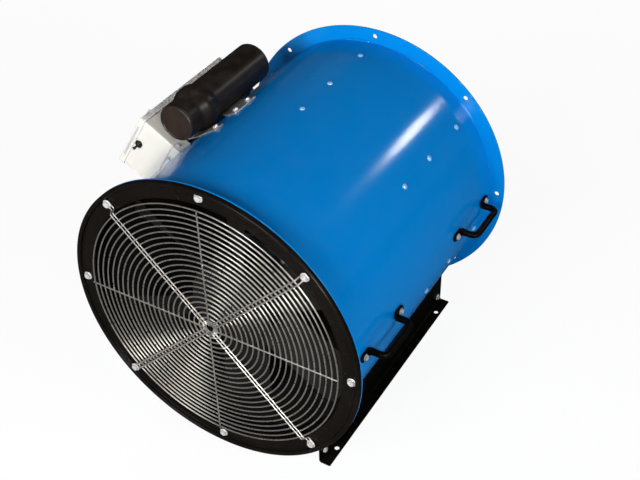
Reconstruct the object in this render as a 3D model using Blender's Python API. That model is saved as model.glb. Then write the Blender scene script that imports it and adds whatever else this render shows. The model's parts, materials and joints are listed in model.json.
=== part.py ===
"""In-line axial aeration fan, standing on its base rails.

A rolled steel housing carries a guarded inlet venturi, a motor in a vaned sleeve with its bladed
hub, four lift handles, a control enclosure and a capacitor housing.

Lengths are in metres. +Z is up and the air runs along +Y. The origin is on the floor under the
middle of the fan's bounding box. Parts of the fan are placed from an empty on the fan's axis, in
the plane of the inlet plate. The enclosure has its own empty, in which -X points out of its cover.
"""
import bmesh
import bpy
from math import acos, asin, cos, pi, radians, sin, sqrt
from mathutils import Vector

# Fits
GAP = 0.0003                    # between two faces that rest on each other
SHELL_SIDES = 40                # facets of the large round sheet-metal parts
SLEEVE_SIDES = 24               # facets of the sleeve, the motor frame and the stator
SMALL_SIDES = 24                # facets of bearings, hub and tubes

# Housing
FLOOR_CLEARANCE = 0.018         # under the flanges
HOUSING_RADIUS = 0.304
HOUSING_WALL = 0.003
HOUSING_LENGTH = 0.6823
FLANGE_HEIGHT = 0.034
FLANGE_THICKNESS = 0.004
FLANGE_BOLTS = 8
OUTLET_HOLE_RADIUS = 0.0057

# Inlet venturi and its bolts
PLATE = 0.002
RIM_BEAD = 0.005                # radius of the curled rim
COLLAR_CLEARANCE = 0.0025
COLLAR_LENGTH = 0.043
BOLT_RADIUS = 0.0031
BOLT_CLEARANCE = 0.0003
WASHER_RADIUS = 0.0095
WASHER_THICKNESS = 0.0015
WASHER_CLEARANCE = 0.0005       # between a washer and the curled rim
HEAD_RADIUS = 0.0072
HEAD_HEIGHT = 0.0045
BOLT_GRIP = 0.014               # length of shank behind the plate's front

# Inlet guard
WIRE = 0.003
LOOP_CLEARANCE = 0.004          # between a loop's step and its bolt's washer
LOOP_STEP = 0.002               # straight wire outside the last ring
RING_PITCH = 0.0127
FIRST_RING = 0.026
SMALL_RING = 0.110              # rings inside this radius have fewer chords
GUARD_STANDOFF = 0.007          # from the plate to the back of the rings
HUB_PLATE_RADIUS = 0.019
HUB_PLATE_HOLE = 0.0055

# Impeller
TIP_CLEARANCE = 0.0045
HUB_RADIUS = 0.095
HUB_FRONT = 0.060
HUB_LENGTH = 0.085
HUB_WALL = 0.010
HUB_BOSS_RADIUS = 0.032
BLADES = 6
ROOT_CHORD = 0.084
TIP_CHORD = 0.104
ROOT_PITCH = radians(42)
TIP_PITCH = radians(24)
BLADE_THICKNESS = 0.009
ROOT_SEAT = 0.0008              # so that the flats of a wide root clear the hub's edges
CAMBER = 0.055                  # share of the chord
BLADE_THINNING = 0.45           # share of the root's thickness lost at the tip
HUB_BOLT_RADIUS = 0.0050
HUB_BOLT_GRIP = 0.028
HUB_BOLT_HEAD = 0.010
HUB_BOLT_HEAD_HEIGHT = 0.008
HUB_WASHER = 0.024
HUB_WASHER_THICKNESS = 0.004

# Motor
SHAFT_RADIUS = 0.0143
SHAFT_SETBACK = 0.003           # of the shaft's end behind the hub's face
SHAFT_END_ROOM = 0.009          # behind the shaft, inside the rear bell
MOTOR_FRONT = 0.190
FRAME_LENGTH = 0.240
FRAME_RADIUS = 0.086
FRAME_WALL = 0.006
FRAME_RIBS = 8
RIB_WIDTH = 0.010
BELL_THICKNESS = 0.012
SPIGOT = 0.006
BELL_CHAMFER = 0.003
BELL_FLOOR = 0.005              # between the bearing's pocket and the bell's face
WINDING = 0.018                 # how far the windings stand out of the core
WINDING_SHOULDER = 0.010
BEARING_RADIUS = 0.031
BEARING_WIDTH = 0.016
CORE_LENGTH = 0.150
CORE_BORE = 0.052
AIR_GAP = 0.0012

# Motor sleeve and straightening vanes
SLEEVE_RADIUS = 0.112
SLEEVE_WALL = 0.0025
SLEEVE_FRONT = 0.170
SLEEVE_REAR = 0.655
VANES = 7
FIRST_VANE = radians(91.2)
VANE_FRONT = 0.340
VANE_LENGTH = 0.310
VANE_THICKNESS = 0.0025
VANE_FLANGE = 0.024

# Base rails
RAIL_INSET = 0.095              # of the web's outer face inside the housing's side
RAIL_THICKNESS = 0.003
RAIL_FOOT = 0.0285
RAIL_FRONT = 0.056
RAIL_LENGTH = 0.602
RAIL_SADDLE = radians(6)
FOOT_HOLE_RADIUS = 0.0055
FOOT_HOLE_INSET = 0.051
FOOT_CORNER = 0.008

# Lift handles
HANDLE_FIRST = 0.0700           # first bolt of the front handles
HANDLE_SECOND = 0.4945          # first bolt of the rear handles
HANDLE_BOLTS = 0.150
HANDLE_REACH = 0.042
HANDLE_ROD = 0.0057
HANDLE_TAB = 0.013
HANDLE_TAB_WIDTH = 0.011
HANDLE_TAB_THICKNESS = 0.0026
HANDLE_BEND = 0.014

# Control enclosure
BOX_TILT = radians(31)
BOX_STANDOFF = 0.009
BOX_DEPTH = 0.089
BOX_HEIGHT = 0.148
BOX_FRONT = 0.2193
BOX_LENGTH = 0.2894
BOX_WALL = 0.002
COVER_WALL = 0.0015
COVER_LAP = 0.012
COVER_CLEARANCE = 0.0008
HINGE_PIN = 0.002
HINGE_KNUCKLE = 0.004
HINGE_CLEARANCE = 0.0003
HINGE_OFFSET = 0.0045           # from the cover's rim to the pin's middle
HINGE_KNUCKLES = 5
KNUCKLE_LENGTH = 0.030
KNUCKLE_SPACING = 0.031
SCREW_SPACING = 0.210
SCREW_INSET = 0.012
SCREW_RADIUS = 0.0022
SCREW_HEAD_RADIUS = 0.0052
SCREW_HEAD_HEIGHT = 0.0028
SCREW_LENGTH = 0.009
SCREW_SWING = 0.0009            # room for the screws as the cover swings
POST_WIDTH = 0.018
POST_DEPTH = 0.016
POST_HOLE_DEPTH = 0.0128

# Toggle switch
TOGGLE_UP = 0.009
TOGGLE_CLEARANCE = 0.0004       # between its nut and the cover's rim
BUSHING_RADIUS = 0.0072
BUSHING_WALL = 0.0012
BUSHING_REACH = 0.0050
NUT_RADIUS = 0.0096
NUT_THICKNESS = 0.0034
LEVER_RADIUS = 0.0036
LEVER_LENGTH = 0.019
LEVER_TILT = radians(12)
SWITCH_WIDTH = 0.018
SWITCH_HEIGHT = 0.030
SWITCH_DEPTH = 0.026

# Gear inside the enclosure
CONTACTOR_DEPTH = 0.052         # out of the back wall
CONTACTOR_LENGTH = 0.070
CONTACTOR_HEIGHT = 0.072
CONTACTOR_FRONT = 0.400
TERMINAL_DEPTH = 0.022
TERMINAL_LENGTH = 0.060
TERMINAL_HEIGHT = 0.028
TERMINAL_FRONT = 0.325

# Capacitor housing
TUBE_RADIUS = 0.0445
TUBE_WALL = 0.0035
TUBE_CLEARANCE = 0.0023         # between its bell and the enclosure's cover
TUBE_FRONT = 0.225
TUBE_REAR = 0.517
PLUG_LENGTH = 0.047
PLUG_RADIUS = 0.0405
PLUG_SPIGOT = 0.020
PLUG_RIM = 0.004                # chamfer around the plug's face
BELL_RADIUS = 0.0500
BELL_FRONT = 0.272
BELL_LENGTH = 0.040
BELL_SHOULDER = 0.010
BELL_MOUTH_RADIUS = 0.0470
CAPACITOR_RADIUS = 0.032
CAPACITOR_LENGTH = 0.120
CAPACITOR_FRONT = 0.330

# Straps that carry the enclosure and the capacitor housing
FRONT_STRAP_WIDTH = 0.028
REAR_STRAP_WIDTH = 0.078
STRAP_THICKNESS = 0.0025
FRONT_STRAP = 0.262
REAR_STRAP = 0.335
STRAP_PAD = 0.008               # half the length that carries the tube
STRAP_RUN = 0.024               # from under the tube to the upper tab
STRAP_TAB = 0.0265
STRAP_INSET = 0.010             # from the enclosure's edge to the strap's bend
STRAP_DROP = 0.026              # from that bend to the lower tab
STRAP_FOOT = 0.024

# Motor lead conduit
CONDUIT_RADIUS = 0.0075
CONDUIT_WALL = 0.0015
CONDUIT_ALONG = 0.300
LOCKNUT_RADIUS = 0.0115
LOCKNUT_THICKNESS = 0.004

# Sizes that follow from those above
FLANGE_RADIUS = HOUSING_RADIUS + FLANGE_HEIGHT
AXIS_HEIGHT = FLANGE_RADIUS + FLOOR_CLEARANCE
INLET_CIRCLE = FLANGE_RADIUS - 2 * RIM_BEAD - WASHER_CLEARANCE - WASHER_RADIUS
OUTLET_CIRCLE = (HOUSING_RADIUS + FLANGE_RADIUS) / 2
RAIL_WEB = HOUSING_RADIUS - RAIL_INSET      # from the axis to the web's outer face
BORE_RADIUS = HOUSING_RADIUS - HOUSING_WALL
INLET_FACE = PLATE + GAP
OUTLET_FACE = INLET_FACE + HOUSING_LENGTH
THROAT_RADIUS = BORE_RADIUS - COLLAR_CLEARANCE - PLATE
THROAT_BEND = COLLAR_CLEARANCE + PLATE - GAP
BLADE_TIP = THROAT_RADIUS - TIP_CLEARANCE
HUB_BORE = SHAFT_RADIUS + GAP
HUB_REAR = HUB_FRONT + HUB_LENGTH
FRAME_BORE = FRAME_RADIUS - FRAME_WALL
MOTOR_REAR = MOTOR_FRONT + FRAME_LENGTH
CORE_FRONT = MOTOR_FRONT + (FRAME_LENGTH - CORE_LENGTH) / 2
WIRE_PAIR = 2 * (BOLT_RADIUS + BOLT_CLEARANCE) + WIRE
GUARD_FRONT = -GUARD_STANDOFF - 2 * WIRE
GUARD_RINGS = int((THROAT_RADIUS - FIRST_RING) / RING_PITCH) + 1
LAST_RING = FIRST_RING + (GUARD_RINGS - 1) * RING_PITCH
BOX_BACK = HOUSING_RADIUS + BOX_STANDOFF
BOX_EDGE = BOX_BACK + BOX_DEPTH
COVER_FACE = BOX_EDGE + GAP + COVER_WALL
COVER_HALF = BOX_HEIGHT / 2 + COVER_CLEARANCE + COVER_WALL
COVER_RIM = BOX_EDGE - COVER_LAP
TOGGLE_RADIAL = COVER_RIM - TOGGLE_CLEARANCE - NUT_RADIUS
COVER_FRONT = BOX_FRONT - COVER_CLEARANCE - COVER_WALL
COVER_LENGTH = BOX_LENGTH + 2 * (COVER_CLEARANCE + COVER_WALL)
BOX_MIDDLE = BOX_FRONT + BOX_LENGTH / 2
HINGE_DROP = COVER_HALF + HINGE_OFFSET
SCREW_HEIGHT = BOX_HEIGHT / 2 - SCREW_INSET
TUBE_AXIS_RADIUS = HOUSING_RADIUS + GAP + STRAP_THICKNESS + GAP + BELL_RADIUS
TUBE_SIDE = asin((COVER_HALF + TUBE_CLEARANCE + BELL_RADIUS) / TUBE_AXIS_RADIUS)
TUBE_ANGLE = pi - BOX_TILT - TUBE_SIDE
TUBE_X = TUBE_AXIS_RADIUS * cos(TUBE_ANGLE)
TUBE_Z = TUBE_AXIS_RADIUS * sin(TUBE_ANGLE)

# Place of the fan's axis in the frame whose origin is under the middle of the bounding box
LEFT_REACH = COVER_FACE * cos(BOX_TILT) + COVER_HALF * sin(BOX_TILT)
RIGHT_REACH = HOUSING_RADIUS + HANDLE_REACH + HANDLE_ROD
AXIS_X = (LEFT_REACH - RIGHT_REACH) / 2
INLET_Y = -(OUTLET_FACE + GUARD_FRONT) / 2

BLUE = (0.0, 0.165, 0.560)
BLACK = (0.012, 0.012, 0.012)
ZINC = (0.560, 0.550, 0.520)
CREAM = (0.830, 0.800, 0.740)
CAST = (0.500, 0.500, 0.500)
STEEL = (0.420, 0.420, 0.420)
PLASTIC = (0.020, 0.018, 0.016)
MOTOR_GREY = (0.130, 0.140, 0.150)
COPPER = (0.330, 0.130, 0.050)
BRASS = (0.550, 0.400, 0.150)


# ---- building blocks -------------------------------------------------------------------------

def remove_all_objects():
    for item in list(bpy.data.objects):
        bpy.data.objects.remove(item, do_unlink=True)


def add_empty(name, place, parent=None, turn=(0.0, 0.0, 0.0)):
    empty = bpy.data.objects.new(name, None)
    empty.location = place
    empty.rotation_euler = turn
    empty.parent = parent
    bpy.context.collection.objects.link(empty)
    return empty


def add_part(name, bm, parent, colour, roughness=0.4, metallic=0.0, place=(0.0, 0.0, 0.0),
             turn=(0.0, 0.0, 0.0), smooth=True):
    """Make one sub-part from a bmesh, with a material of its own."""
    mesh = bpy.data.meshes.new(name)
    bmesh.ops.recalc_face_normals(bm, faces=bm.faces)
    bm.to_mesh(mesh)
    bm.free()
    if smooth:
        mesh.shade_smooth()
        mesh.set_sharp_from_angle(angle=radians(35))
    material = bpy.data.materials.new(name)
    material.use_nodes = True
    shader = material.node_tree.nodes["Principled BSDF"]
    shader.inputs["Base Color"].default_value = (*colour, 1.0)
    shader.inputs["Roughness"].default_value = roughness
    shader.inputs["Metallic"].default_value = metallic
    mesh.materials.append(material)
    part = bpy.data.objects.new(name, mesh)
    part.location = place
    part.rotation_euler = turn
    part.parent = parent
    bpy.context.collection.objects.link(part)
    return part


def combine(part, name, bm, operation, place=(0.0, 0.0, 0.0), turn=(0.0, 0.0, 0.0), parent=None):
    """Cut a hidden body from a part, or join it to the part."""
    mesh = bpy.data.meshes.new(name)
    bmesh.ops.recalc_face_normals(bm, faces=bm.faces)
    bm.to_mesh(mesh)
    bm.free()
    guide = bpy.data.objects.new(name, mesh)
    guide.location = place
    guide.rotation_euler = turn
    guide.parent = parent or part.parent
    guide.hide_render = True
    guide.display_type = "WIRE"
    bpy.context.collection.objects.link(guide)
    modifier = part.modifiers.new(name, "BOOLEAN")
    modifier.operation = operation
    modifier.solver = "EXACT"
    modifier.object = guide


def inscribed(radius, sides):
    """Distance from the middle to the flats of a round part with so many sides."""
    return radius * cos(pi / sides)


def polar(radius, angle, along=0.0):
    return Vector((radius * cos(angle), along, radius * sin(angle)))


def turned(profile, sides, offset=0.0):
    """Revolve a closed outline of (radius, along) points about the Y axis."""
    bm = bmesh.new()
    points = [bm.verts.new(polar(radius, offset, along)) for radius, along in profile]
    edges = [bm.edges.new((a, b)) for a, b in zip(points, points[1:] + points[:1])]
    bmesh.ops.spin(bm, geom=points + edges, cent=(0, 0, 0), axis=(0, 1, 0), angle=2 * pi,
                   steps=sides, use_merge=True)
    bmesh.ops.remove_doubles(bm, verts=bm.verts, dist=0.00001)
    return bm


def turned_solid(profile, sides, offset=0.0):
    """Revolve an open outline of (radius, along) points about Y and close its two ends."""
    bm = bmesh.new()
    points = [bm.verts.new(polar(radius, offset, along)) for radius, along in profile]
    edges = [bm.edges.new((a, b)) for a, b in zip(points, points[1:])]
    bmesh.ops.spin(bm, geom=points + edges, cent=(0, 0, 0), axis=(0, 1, 0), angle=2 * pi,
                   steps=sides, use_merge=True)
    bmesh.ops.remove_doubles(bm, verts=bm.verts, dist=0.00001)
    bmesh.ops.holes_fill(bm, edges=[edge for edge in bm.edges if edge.is_boundary])
    return bm


def prism(outline, front, rear):
    """Extrude a closed outline of (x, z) points along Y."""
    bm = bmesh.new()
    near = [bm.verts.new((x, front, z)) for x, z in outline]
    face = bm.faces.new(near)
    extruded = bmesh.ops.extrude_face_region(bm, geom=[face], use_keep_orig=True)
    moved = [item for item in extruded["geom"] if isinstance(item, bmesh.types.BMVert)]
    bmesh.ops.translate(bm, verts=moved, vec=(0, rear - front, 0))
    return bm


def block(low, high):
    """A box between two corners."""
    return prism([(low[0], low[2]), (high[0], low[2]), (high[0], high[2]), (low[0], high[2])],
                 low[1], high[1])


def rod(radius, low, high, sides, offset=0.0):
    """A plain cylinder along Y."""
    return turned_solid([(radius, low), (radius, high)], sides, offset)


def pins(places, radius, low, high, sides=12):
    """Cylinders along Y, one at each (x, z) place, in one mesh."""
    bm = bmesh.new()
    for x, z in places:
        turns = [2 * pi * (i + 0.5) / sides for i in range(sides)]
        ring = [Vector((x + radius * cos(turn), low, z + radius * sin(turn))) for turn in turns]
        face = bm.faces.new([bm.verts.new(point) for point in ring])
        extruded = bmesh.ops.extrude_face_region(bm, geom=[face], use_keep_orig=True)
        moved = [item for item in extruded["geom"] if isinstance(item, bmesh.types.BMVert)]
        bmesh.ops.translate(bm, verts=moved, vec=(0, high - low, 0))
    return bm


def thick_path(path, thickness):
    """Closed outline of a sheet whose middle follows a path of (x, z) points."""
    points = [Vector(point) for point in path]
    sides = []
    for i, point in enumerate(points):
        before = (point - points[i - 1]).normalized() if i else None
        after = (points[i + 1] - point).normalized() if i + 1 < len(points) else None
        before = before or after
        after = after or before
        across = Vector((-(before + after).y, (before + after).x)).normalized()
        normal = Vector((-after.y, after.x))
        sides.append(across * (thickness / 2 / across.dot(normal)))
    left = [point + side for point, side in zip(points, sides)]
    right = [point - side for point, side in zip(points, sides)]
    return [tuple(point) for point in left + right[::-1]]


def arc(radius, start, end, steps, centre=(0.0, 0.0)):
    """Points (x, z) along an arc."""
    angles = [start + (end - start) * i / steps for i in range(steps + 1)]
    return [(centre[0] + radius * cos(angle), centre[1] + radius * sin(angle)) for angle in angles]


# ---- housing, venturi and guard --------------------------------------------------------------

def add_housing(fan, box):
    """Rolled tube of the housing."""
    profile = [(BORE_RADIUS, INLET_FACE), (HOUSING_RADIUS, INLET_FACE),
               (HOUSING_RADIUS, OUTLET_FACE), (BORE_RADIUS, OUTLET_FACE)]
    housing = add_part("fan_housing", turned(profile, SHELL_SIDES), fan, BLUE, 0.25)
    combine(housing, "conduit_hole",
            rod(CONDUIT_RADIUS + GAP, -2 * HOUSING_WALL, HOUSING_WALL, 12), "DIFFERENCE",
            place=(-HOUSING_RADIUS, CONDUIT_ALONG, 0), turn=(0, 0, pi / 2), parent=box)


def add_flange(fan, name, front, circle, hole_radius):
    """Ring on one end of the housing, with a circle of bolt holes."""
    seat = HOUSING_RADIUS + GAP
    rear = front + FLANGE_THICKNESS
    profile = [(seat, front), (FLANGE_RADIUS, front), (FLANGE_RADIUS, rear), (seat, rear)]
    flange = add_part(name, turned(profile, SHELL_SIDES), fan, BLUE, 0.25)
    combine(flange, name + "_holes",
            pins(bolt_places(circle), hole_radius, front - FLANGE_THICKNESS, rear + FLANGE_THICKNESS, 8),
            "DIFFERENCE")


def bolt_places(circle):
    return arc(circle, 0, 2 * pi * (FLANGE_BOLTS - 1) / FLANGE_BOLTS, FLANGE_BOLTS - 1)


def add_venturi(fan):
    """Flat plate with a curled rim outside and a rounded throat inside."""
    bead = FLANGE_RADIUS - RIM_BEAD
    bead_rise = RIM_BEAD - PLATE / 2
    curl = [(bead + RIM_BEAD * cos(angle), -bead_rise - RIM_BEAD * sin(angle))
            for angle in (pi * i / 4 for i in range(5))]
    bend_centre = THROAT_RADIUS + THROAT_BEND
    inner = [(bend_centre - THROAT_BEND * sin(angle), THROAT_BEND - THROAT_BEND * cos(angle))
             for angle in (pi / 2 * i / 2 for i in range(3))]
    back_bend = THROAT_BEND - PLATE
    outer = [(bend_centre - back_bend * sin(angle), THROAT_BEND - back_bend * cos(angle))
             for angle in (pi / 2 * i / 2 for i in range(3))]
    profile = [(FLANGE_RADIUS, PLATE)] + curl
    profile += [(bead - RIM_BEAD, 0.0)] + inner
    profile += [(THROAT_RADIUS, COLLAR_LENGTH), (THROAT_RADIUS + PLATE, COLLAR_LENGTH)]
    profile += outer[::-1]
    venturi = add_part("inlet_venturi", turned(profile, SHELL_SIDES), fan, BLACK, 0.35)
    combine(venturi, "venturi_bolt_holes",
            pins(bolt_places(INLET_CIRCLE), BOLT_RADIUS + BOLT_CLEARANCE, -PLATE, 2 * PLATE, 8),
            "DIFFERENCE")


def add_guard_bolts(fan):
    """Hex-head bolts; those that hold a guard loop sit one wire higher."""
    for i, (x, z) in enumerate(bolt_places(INLET_CIRCLE)):
        seat = -GAP - (i % 2) * (WIRE + GAP)
        profile = [
            (HEAD_RADIUS, seat - WASHER_THICKNESS - HEAD_HEIGHT),
            (HEAD_RADIUS, seat - WASHER_THICKNESS),
            (WASHER_RADIUS, seat - WASHER_THICKNESS),
            (WASHER_RADIUS, seat),
            (BOLT_RADIUS, seat),
            (BOLT_RADIUS, BOLT_GRIP),
        ]
        add_part("guard_bolt_%d" % (i + 1), turned_solid(profile, 8, pi / 8), fan, ZINC, 0.35, 0.8,
                 place=(x, 0, z), turn=(0, -2 * pi * i / FLANGE_BOLTS, 0))


def spoke_edges(spoke):
    """Offsets of the wire edges of one spoke: a single wire or a pair."""
    if spoke % 2 == 0:
        return [(-WIRE / 2, WIRE / 2)]
    return [(-WIRE_PAIR / 2 - WIRE / 2, -WIRE_PAIR / 2 + WIRE / 2),
            (WIRE_PAIR / 2 - WIRE / 2, WIRE_PAIR / 2 + WIRE / 2)]


def add_guard(fan):
    """Concentric rings on eight spokes, in one welded body.

    The rings and spokes are laid out as flat cells between circles, and the four paired spokes run
    on past the last ring, step back to the plate and loop round their bolts.
    """
    bm = bmesh.new()
    corner_of = {}

    def corner(point, front, back):
        key = (round(point.x, 6), round(point.z, 6))
        if key not in corner_of:
            corner_of[key] = (bm.verts.new((point.x, front, point.z)),
                              bm.verts.new((point.x, back, point.z)))
        return corner_of[key]

    def on_circle(radius, angle):
        return corner(polar(radius, angle), GUARD_FRONT, -GUARD_STANDOFF)

    def cell(corners):
        bm.faces.new([front for front, back in corners])
        bm.faces.new([back for front, back in corners[::-1]])

    def arc_steps(radius):
        return 1 if radius < SMALL_RING else 2

    def solid_band(inner, outer, steps):
        """A full ring of cells, with corners where the spokes meet it."""
        stops = []
        for spoke in range(FLANGE_BOLTS):
            base = 2 * pi * spoke / FLANGE_BOLTS
            edges = [edge for pair in spoke_edges(spoke) for edge in pair]
            for edge in edges:
                stops.append((base + asin(edge / inner), base + asin(edge / outer)))
            following = spoke_edges(spoke + 1)[0][0]
            next_base = base + 2 * pi / FLANGE_BOLTS
            ends = (next_base + asin(following / inner), next_base + asin(following / outer))
            for step in range(1, steps):
                share = step / steps
                stops.append(tuple(a + (b - a) * share for a, b in zip(stops[-step], ends)))
        for (inner_a, outer_a), (inner_b, outer_b) in zip(stops, stops[1:] + stops[:1]):
            cell([on_circle(inner, inner_a), on_circle(outer, outer_a),
                  on_circle(outer, outer_b), on_circle(inner, inner_b)])

    def spoke_band(inner, outer):
        """The pieces of the spokes that cross the space between two rings."""
        for spoke in range(FLANGE_BOLTS):
            base = 2 * pi * spoke / FLANGE_BOLTS
            for low, high in spoke_edges(spoke):
                cell([on_circle(inner, base + asin(low / inner)),
                      on_circle(outer, base + asin(low / outer)),
                      on_circle(outer, base + asin(high / outer)),
                      on_circle(inner, base + asin(high / inner))])

    solid_band(HUB_PLATE_HOLE * 1.2, HUB_PLATE_RADIUS, 1)
    edge = HUB_PLATE_RADIUS
    for ring in range(GUARD_RINGS):
        radius = FIRST_RING + ring * RING_PITCH
        spoke_band(edge, radius - WIRE / 2)
        solid_band(radius - WIRE / 2, radius + WIRE / 2, arc_steps(radius))
        edge = radius + WIRE / 2
    add_guard_loops(cell, corner, on_circle, edge)
    close_sides(bm, corner_of.values())
    bmesh.ops.recalc_face_normals(bm, faces=bm.faces)
    add_part("inlet_guard", bm, fan, ZINC, 0.4, 0.8, smooth=False)


def add_guard_loops(cell, corner, on_circle, edge):
    """Step the paired spokes back from the last ring and close them round their bolts."""
    step_start = edge + LOOP_STEP
    step_end = INLET_CIRCLE - WASHER_RADIUS - LOOP_CLEARANCE
    stations = [(step_start, GUARD_FRONT, -GUARD_STANDOFF), (step_end, -WIRE - GAP, -GAP),
                (INLET_CIRCLE, -WIRE - GAP, -GAP)]
    half_turn = 4
    for spoke in range(1, FLANGE_BOLTS, 2):
        base = 2 * pi * spoke / FLANGE_BOLTS
        outward = polar(1.0, base)
        across = polar(1.0, base + pi / 2)
        for low, high in spoke_edges(spoke):
            last = [on_circle(edge, base + asin(low / edge)), on_circle(edge, base + asin(high / edge))]
            for reach, front, back in stations:
                current = [corner(outward * reach + across * low, front, back),
                           corner(outward * reach + across * high, front, back)]
                cell([last[0], current[0], current[1], last[1]])
                last = current
        radii = (WIRE_PAIR / 2 - WIRE / 2, WIRE_PAIR / 2 + WIRE / 2)
        rows = []
        for i in range(half_turn + 1):
            angle = -pi / 2 + pi * i / half_turn
            direction = outward * cos(angle) + across * sin(angle)
            rows.append([corner(outward * INLET_CIRCLE + direction * radius, -WIRE - GAP, -GAP)
                         for radius in radii])
        for row, following in zip(rows, rows[1:]):
            cell([row[0], row[1], following[1], following[0]])


def close_sides(bm, corner_pairs):
    """Join the front and back sheets along every free edge."""
    back_of = {front: back for front, back in corner_pairs}
    free = [edge for edge in bm.edges if edge.is_boundary]
    for edge in free:
        a, b = edge.verts
        if a in back_of and b in back_of:
            bm.faces.new((a, b, back_of[b], back_of[a]))


# ---- impeller --------------------------------------------------------------------------------

def add_hub(rotor):
    profile = [
        (HUB_BORE, HUB_FRONT),
        (HUB_RADIUS, HUB_FRONT),
        (HUB_RADIUS, HUB_REAR),
        (HUB_RADIUS - HUB_WALL, HUB_REAR),
        (HUB_RADIUS - HUB_WALL, HUB_FRONT + HUB_WALL),
        (HUB_BOSS_RADIUS, HUB_FRONT + HUB_WALL),
        (HUB_BOSS_RADIUS, HUB_REAR - HUB_WALL),
        (HUB_BORE, HUB_REAR - HUB_WALL),
    ]
    add_part("impeller_hub", turned(profile, SMALL_SIDES), rotor, CAST, 0.45, 0.9)


def blade_section(radius, share):
    """Closed aerofoil outline wrapped on a cylinder, as (angle, along) points."""
    chord = ROOT_CHORD + (TIP_CHORD - ROOT_CHORD) * share
    pitch = ROOT_PITCH + (TIP_PITCH - ROOT_PITCH) * share
    thickness = BLADE_THICKNESS * (1 - BLADE_THINNING * share)
    stations = (-0.5, -0.3, 0.0, 0.3, 0.5)
    edge_share = 0.2            # thickness left at the two edges
    outline = []
    for side, order in ((1, stations), (-1, stations[::-1][1:-1])):
        for along in order:
            camber = CAMBER * chord * (1 - 4 * along * along)
            half = thickness / 2 * (1 - 4 * (1 - edge_share) * along * along)
            outline.append((along * chord, camber + side * half))
    points = []
    for run, rise in outline:
        around = run * cos(pitch) - rise * sin(pitch)
        forward = run * sin(pitch) + rise * cos(pitch)
        points.append((around / radius, forward))
    return points


def add_blades(rotor):
    sections = 5
    root = HUB_RADIUS + ROOT_SEAT
    middle = HUB_FRONT + HUB_LENGTH / 2
    for number in range(BLADES):
        centre = 2 * pi * number / BLADES + pi / 2
        bm = bmesh.new()
        rows = []
        for i in range(sections):
            share = i / (sections - 1)
            radius = root + (BLADE_TIP - root) * share
            rows.append([bm.verts.new(polar(radius, centre + angle, middle + along))
                         for angle, along in blade_section(radius, share)])
        for row, following in zip(rows, rows[1:]):
            for j in range(len(row)):
                k = (j + 1) % len(row)
                bm.faces.new((row[j], row[k], following[k], following[j]))
        for row in (rows[0], rows[-1]):
            for strip in ((0, 1, 7), (1, 2, 6, 7), (2, 3, 5, 6), (3, 4, 5)):
                bm.faces.new([row[j] for j in strip])
        add_part("fan_blade_%d" % (number + 1), bm, rotor, CAST, 0.45, 0.9)


def add_hub_bolt(rotor):
    """Bolt and washer in the shaft's end that hold the hub on."""
    seat = HUB_FRONT - GAP
    washer_face = seat - HUB_WASHER_THICKNESS
    profile = [(HUB_BOLT_HEAD, washer_face - HUB_BOLT_HEAD_HEIGHT), (HUB_BOLT_HEAD, washer_face),
               (HUB_WASHER, washer_face), (HUB_WASHER, seat),
               (HUB_BOLT_RADIUS, seat), (HUB_BOLT_RADIUS, HUB_FRONT + HUB_BOLT_GRIP)]
    add_part("hub_bolt", turned_solid(profile, 12), rotor, STEEL, 0.4, 0.9)


# ---- motor -----------------------------------------------------------------------------------

def add_shaft(rotor):
    rear = MOTOR_REAR + BELL_THICKNESS - SHAFT_END_ROOM
    front = HUB_FRONT + SHAFT_SETBACK
    shaft = add_part("motor_shaft", rod(SHAFT_RADIUS, front, rear, SMALL_SIDES), rotor, STEEL, 0.35, 0.9)
    combine(shaft, "shaft_end_hole",
            rod(HUB_BOLT_RADIUS + GAP, front - SHAFT_SETBACK, HUB_FRONT + HUB_BOLT_GRIP + SHAFT_SETBACK,
                12), "DIFFERENCE")


def add_rotor_core(rotor):
    outer = inscribed(CORE_BORE, SLEEVE_SIDES) - AIR_GAP
    profile = [(SHAFT_RADIUS + GAP, CORE_FRONT), (outer, CORE_FRONT),
               (outer, CORE_FRONT + CORE_LENGTH), (SHAFT_RADIUS + GAP, CORE_FRONT + CORE_LENGTH)]
    add_part("rotor_core", turned(profile, SMALL_SIDES), rotor, STEEL, 0.5, 0.8)


def add_stator(fan):
    """Laminated core with its end windings."""
    outer = inscribed(FRAME_BORE, SLEEVE_SIDES) - GAP
    rear = CORE_FRONT + CORE_LENGTH
    shoulder = outer - WINDING_SHOULDER
    profile = [
        (CORE_BORE, CORE_FRONT - WINDING),
        (shoulder, CORE_FRONT - WINDING),
        (shoulder, CORE_FRONT),
        (outer, CORE_FRONT),
        (outer, rear),
        (shoulder, rear),
        (shoulder, rear + WINDING),
        (CORE_BORE, rear + WINDING),
    ]
    add_part("stator_core", turned(profile, SLEEVE_SIDES), fan, COPPER, 0.5, 0.5)


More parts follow.
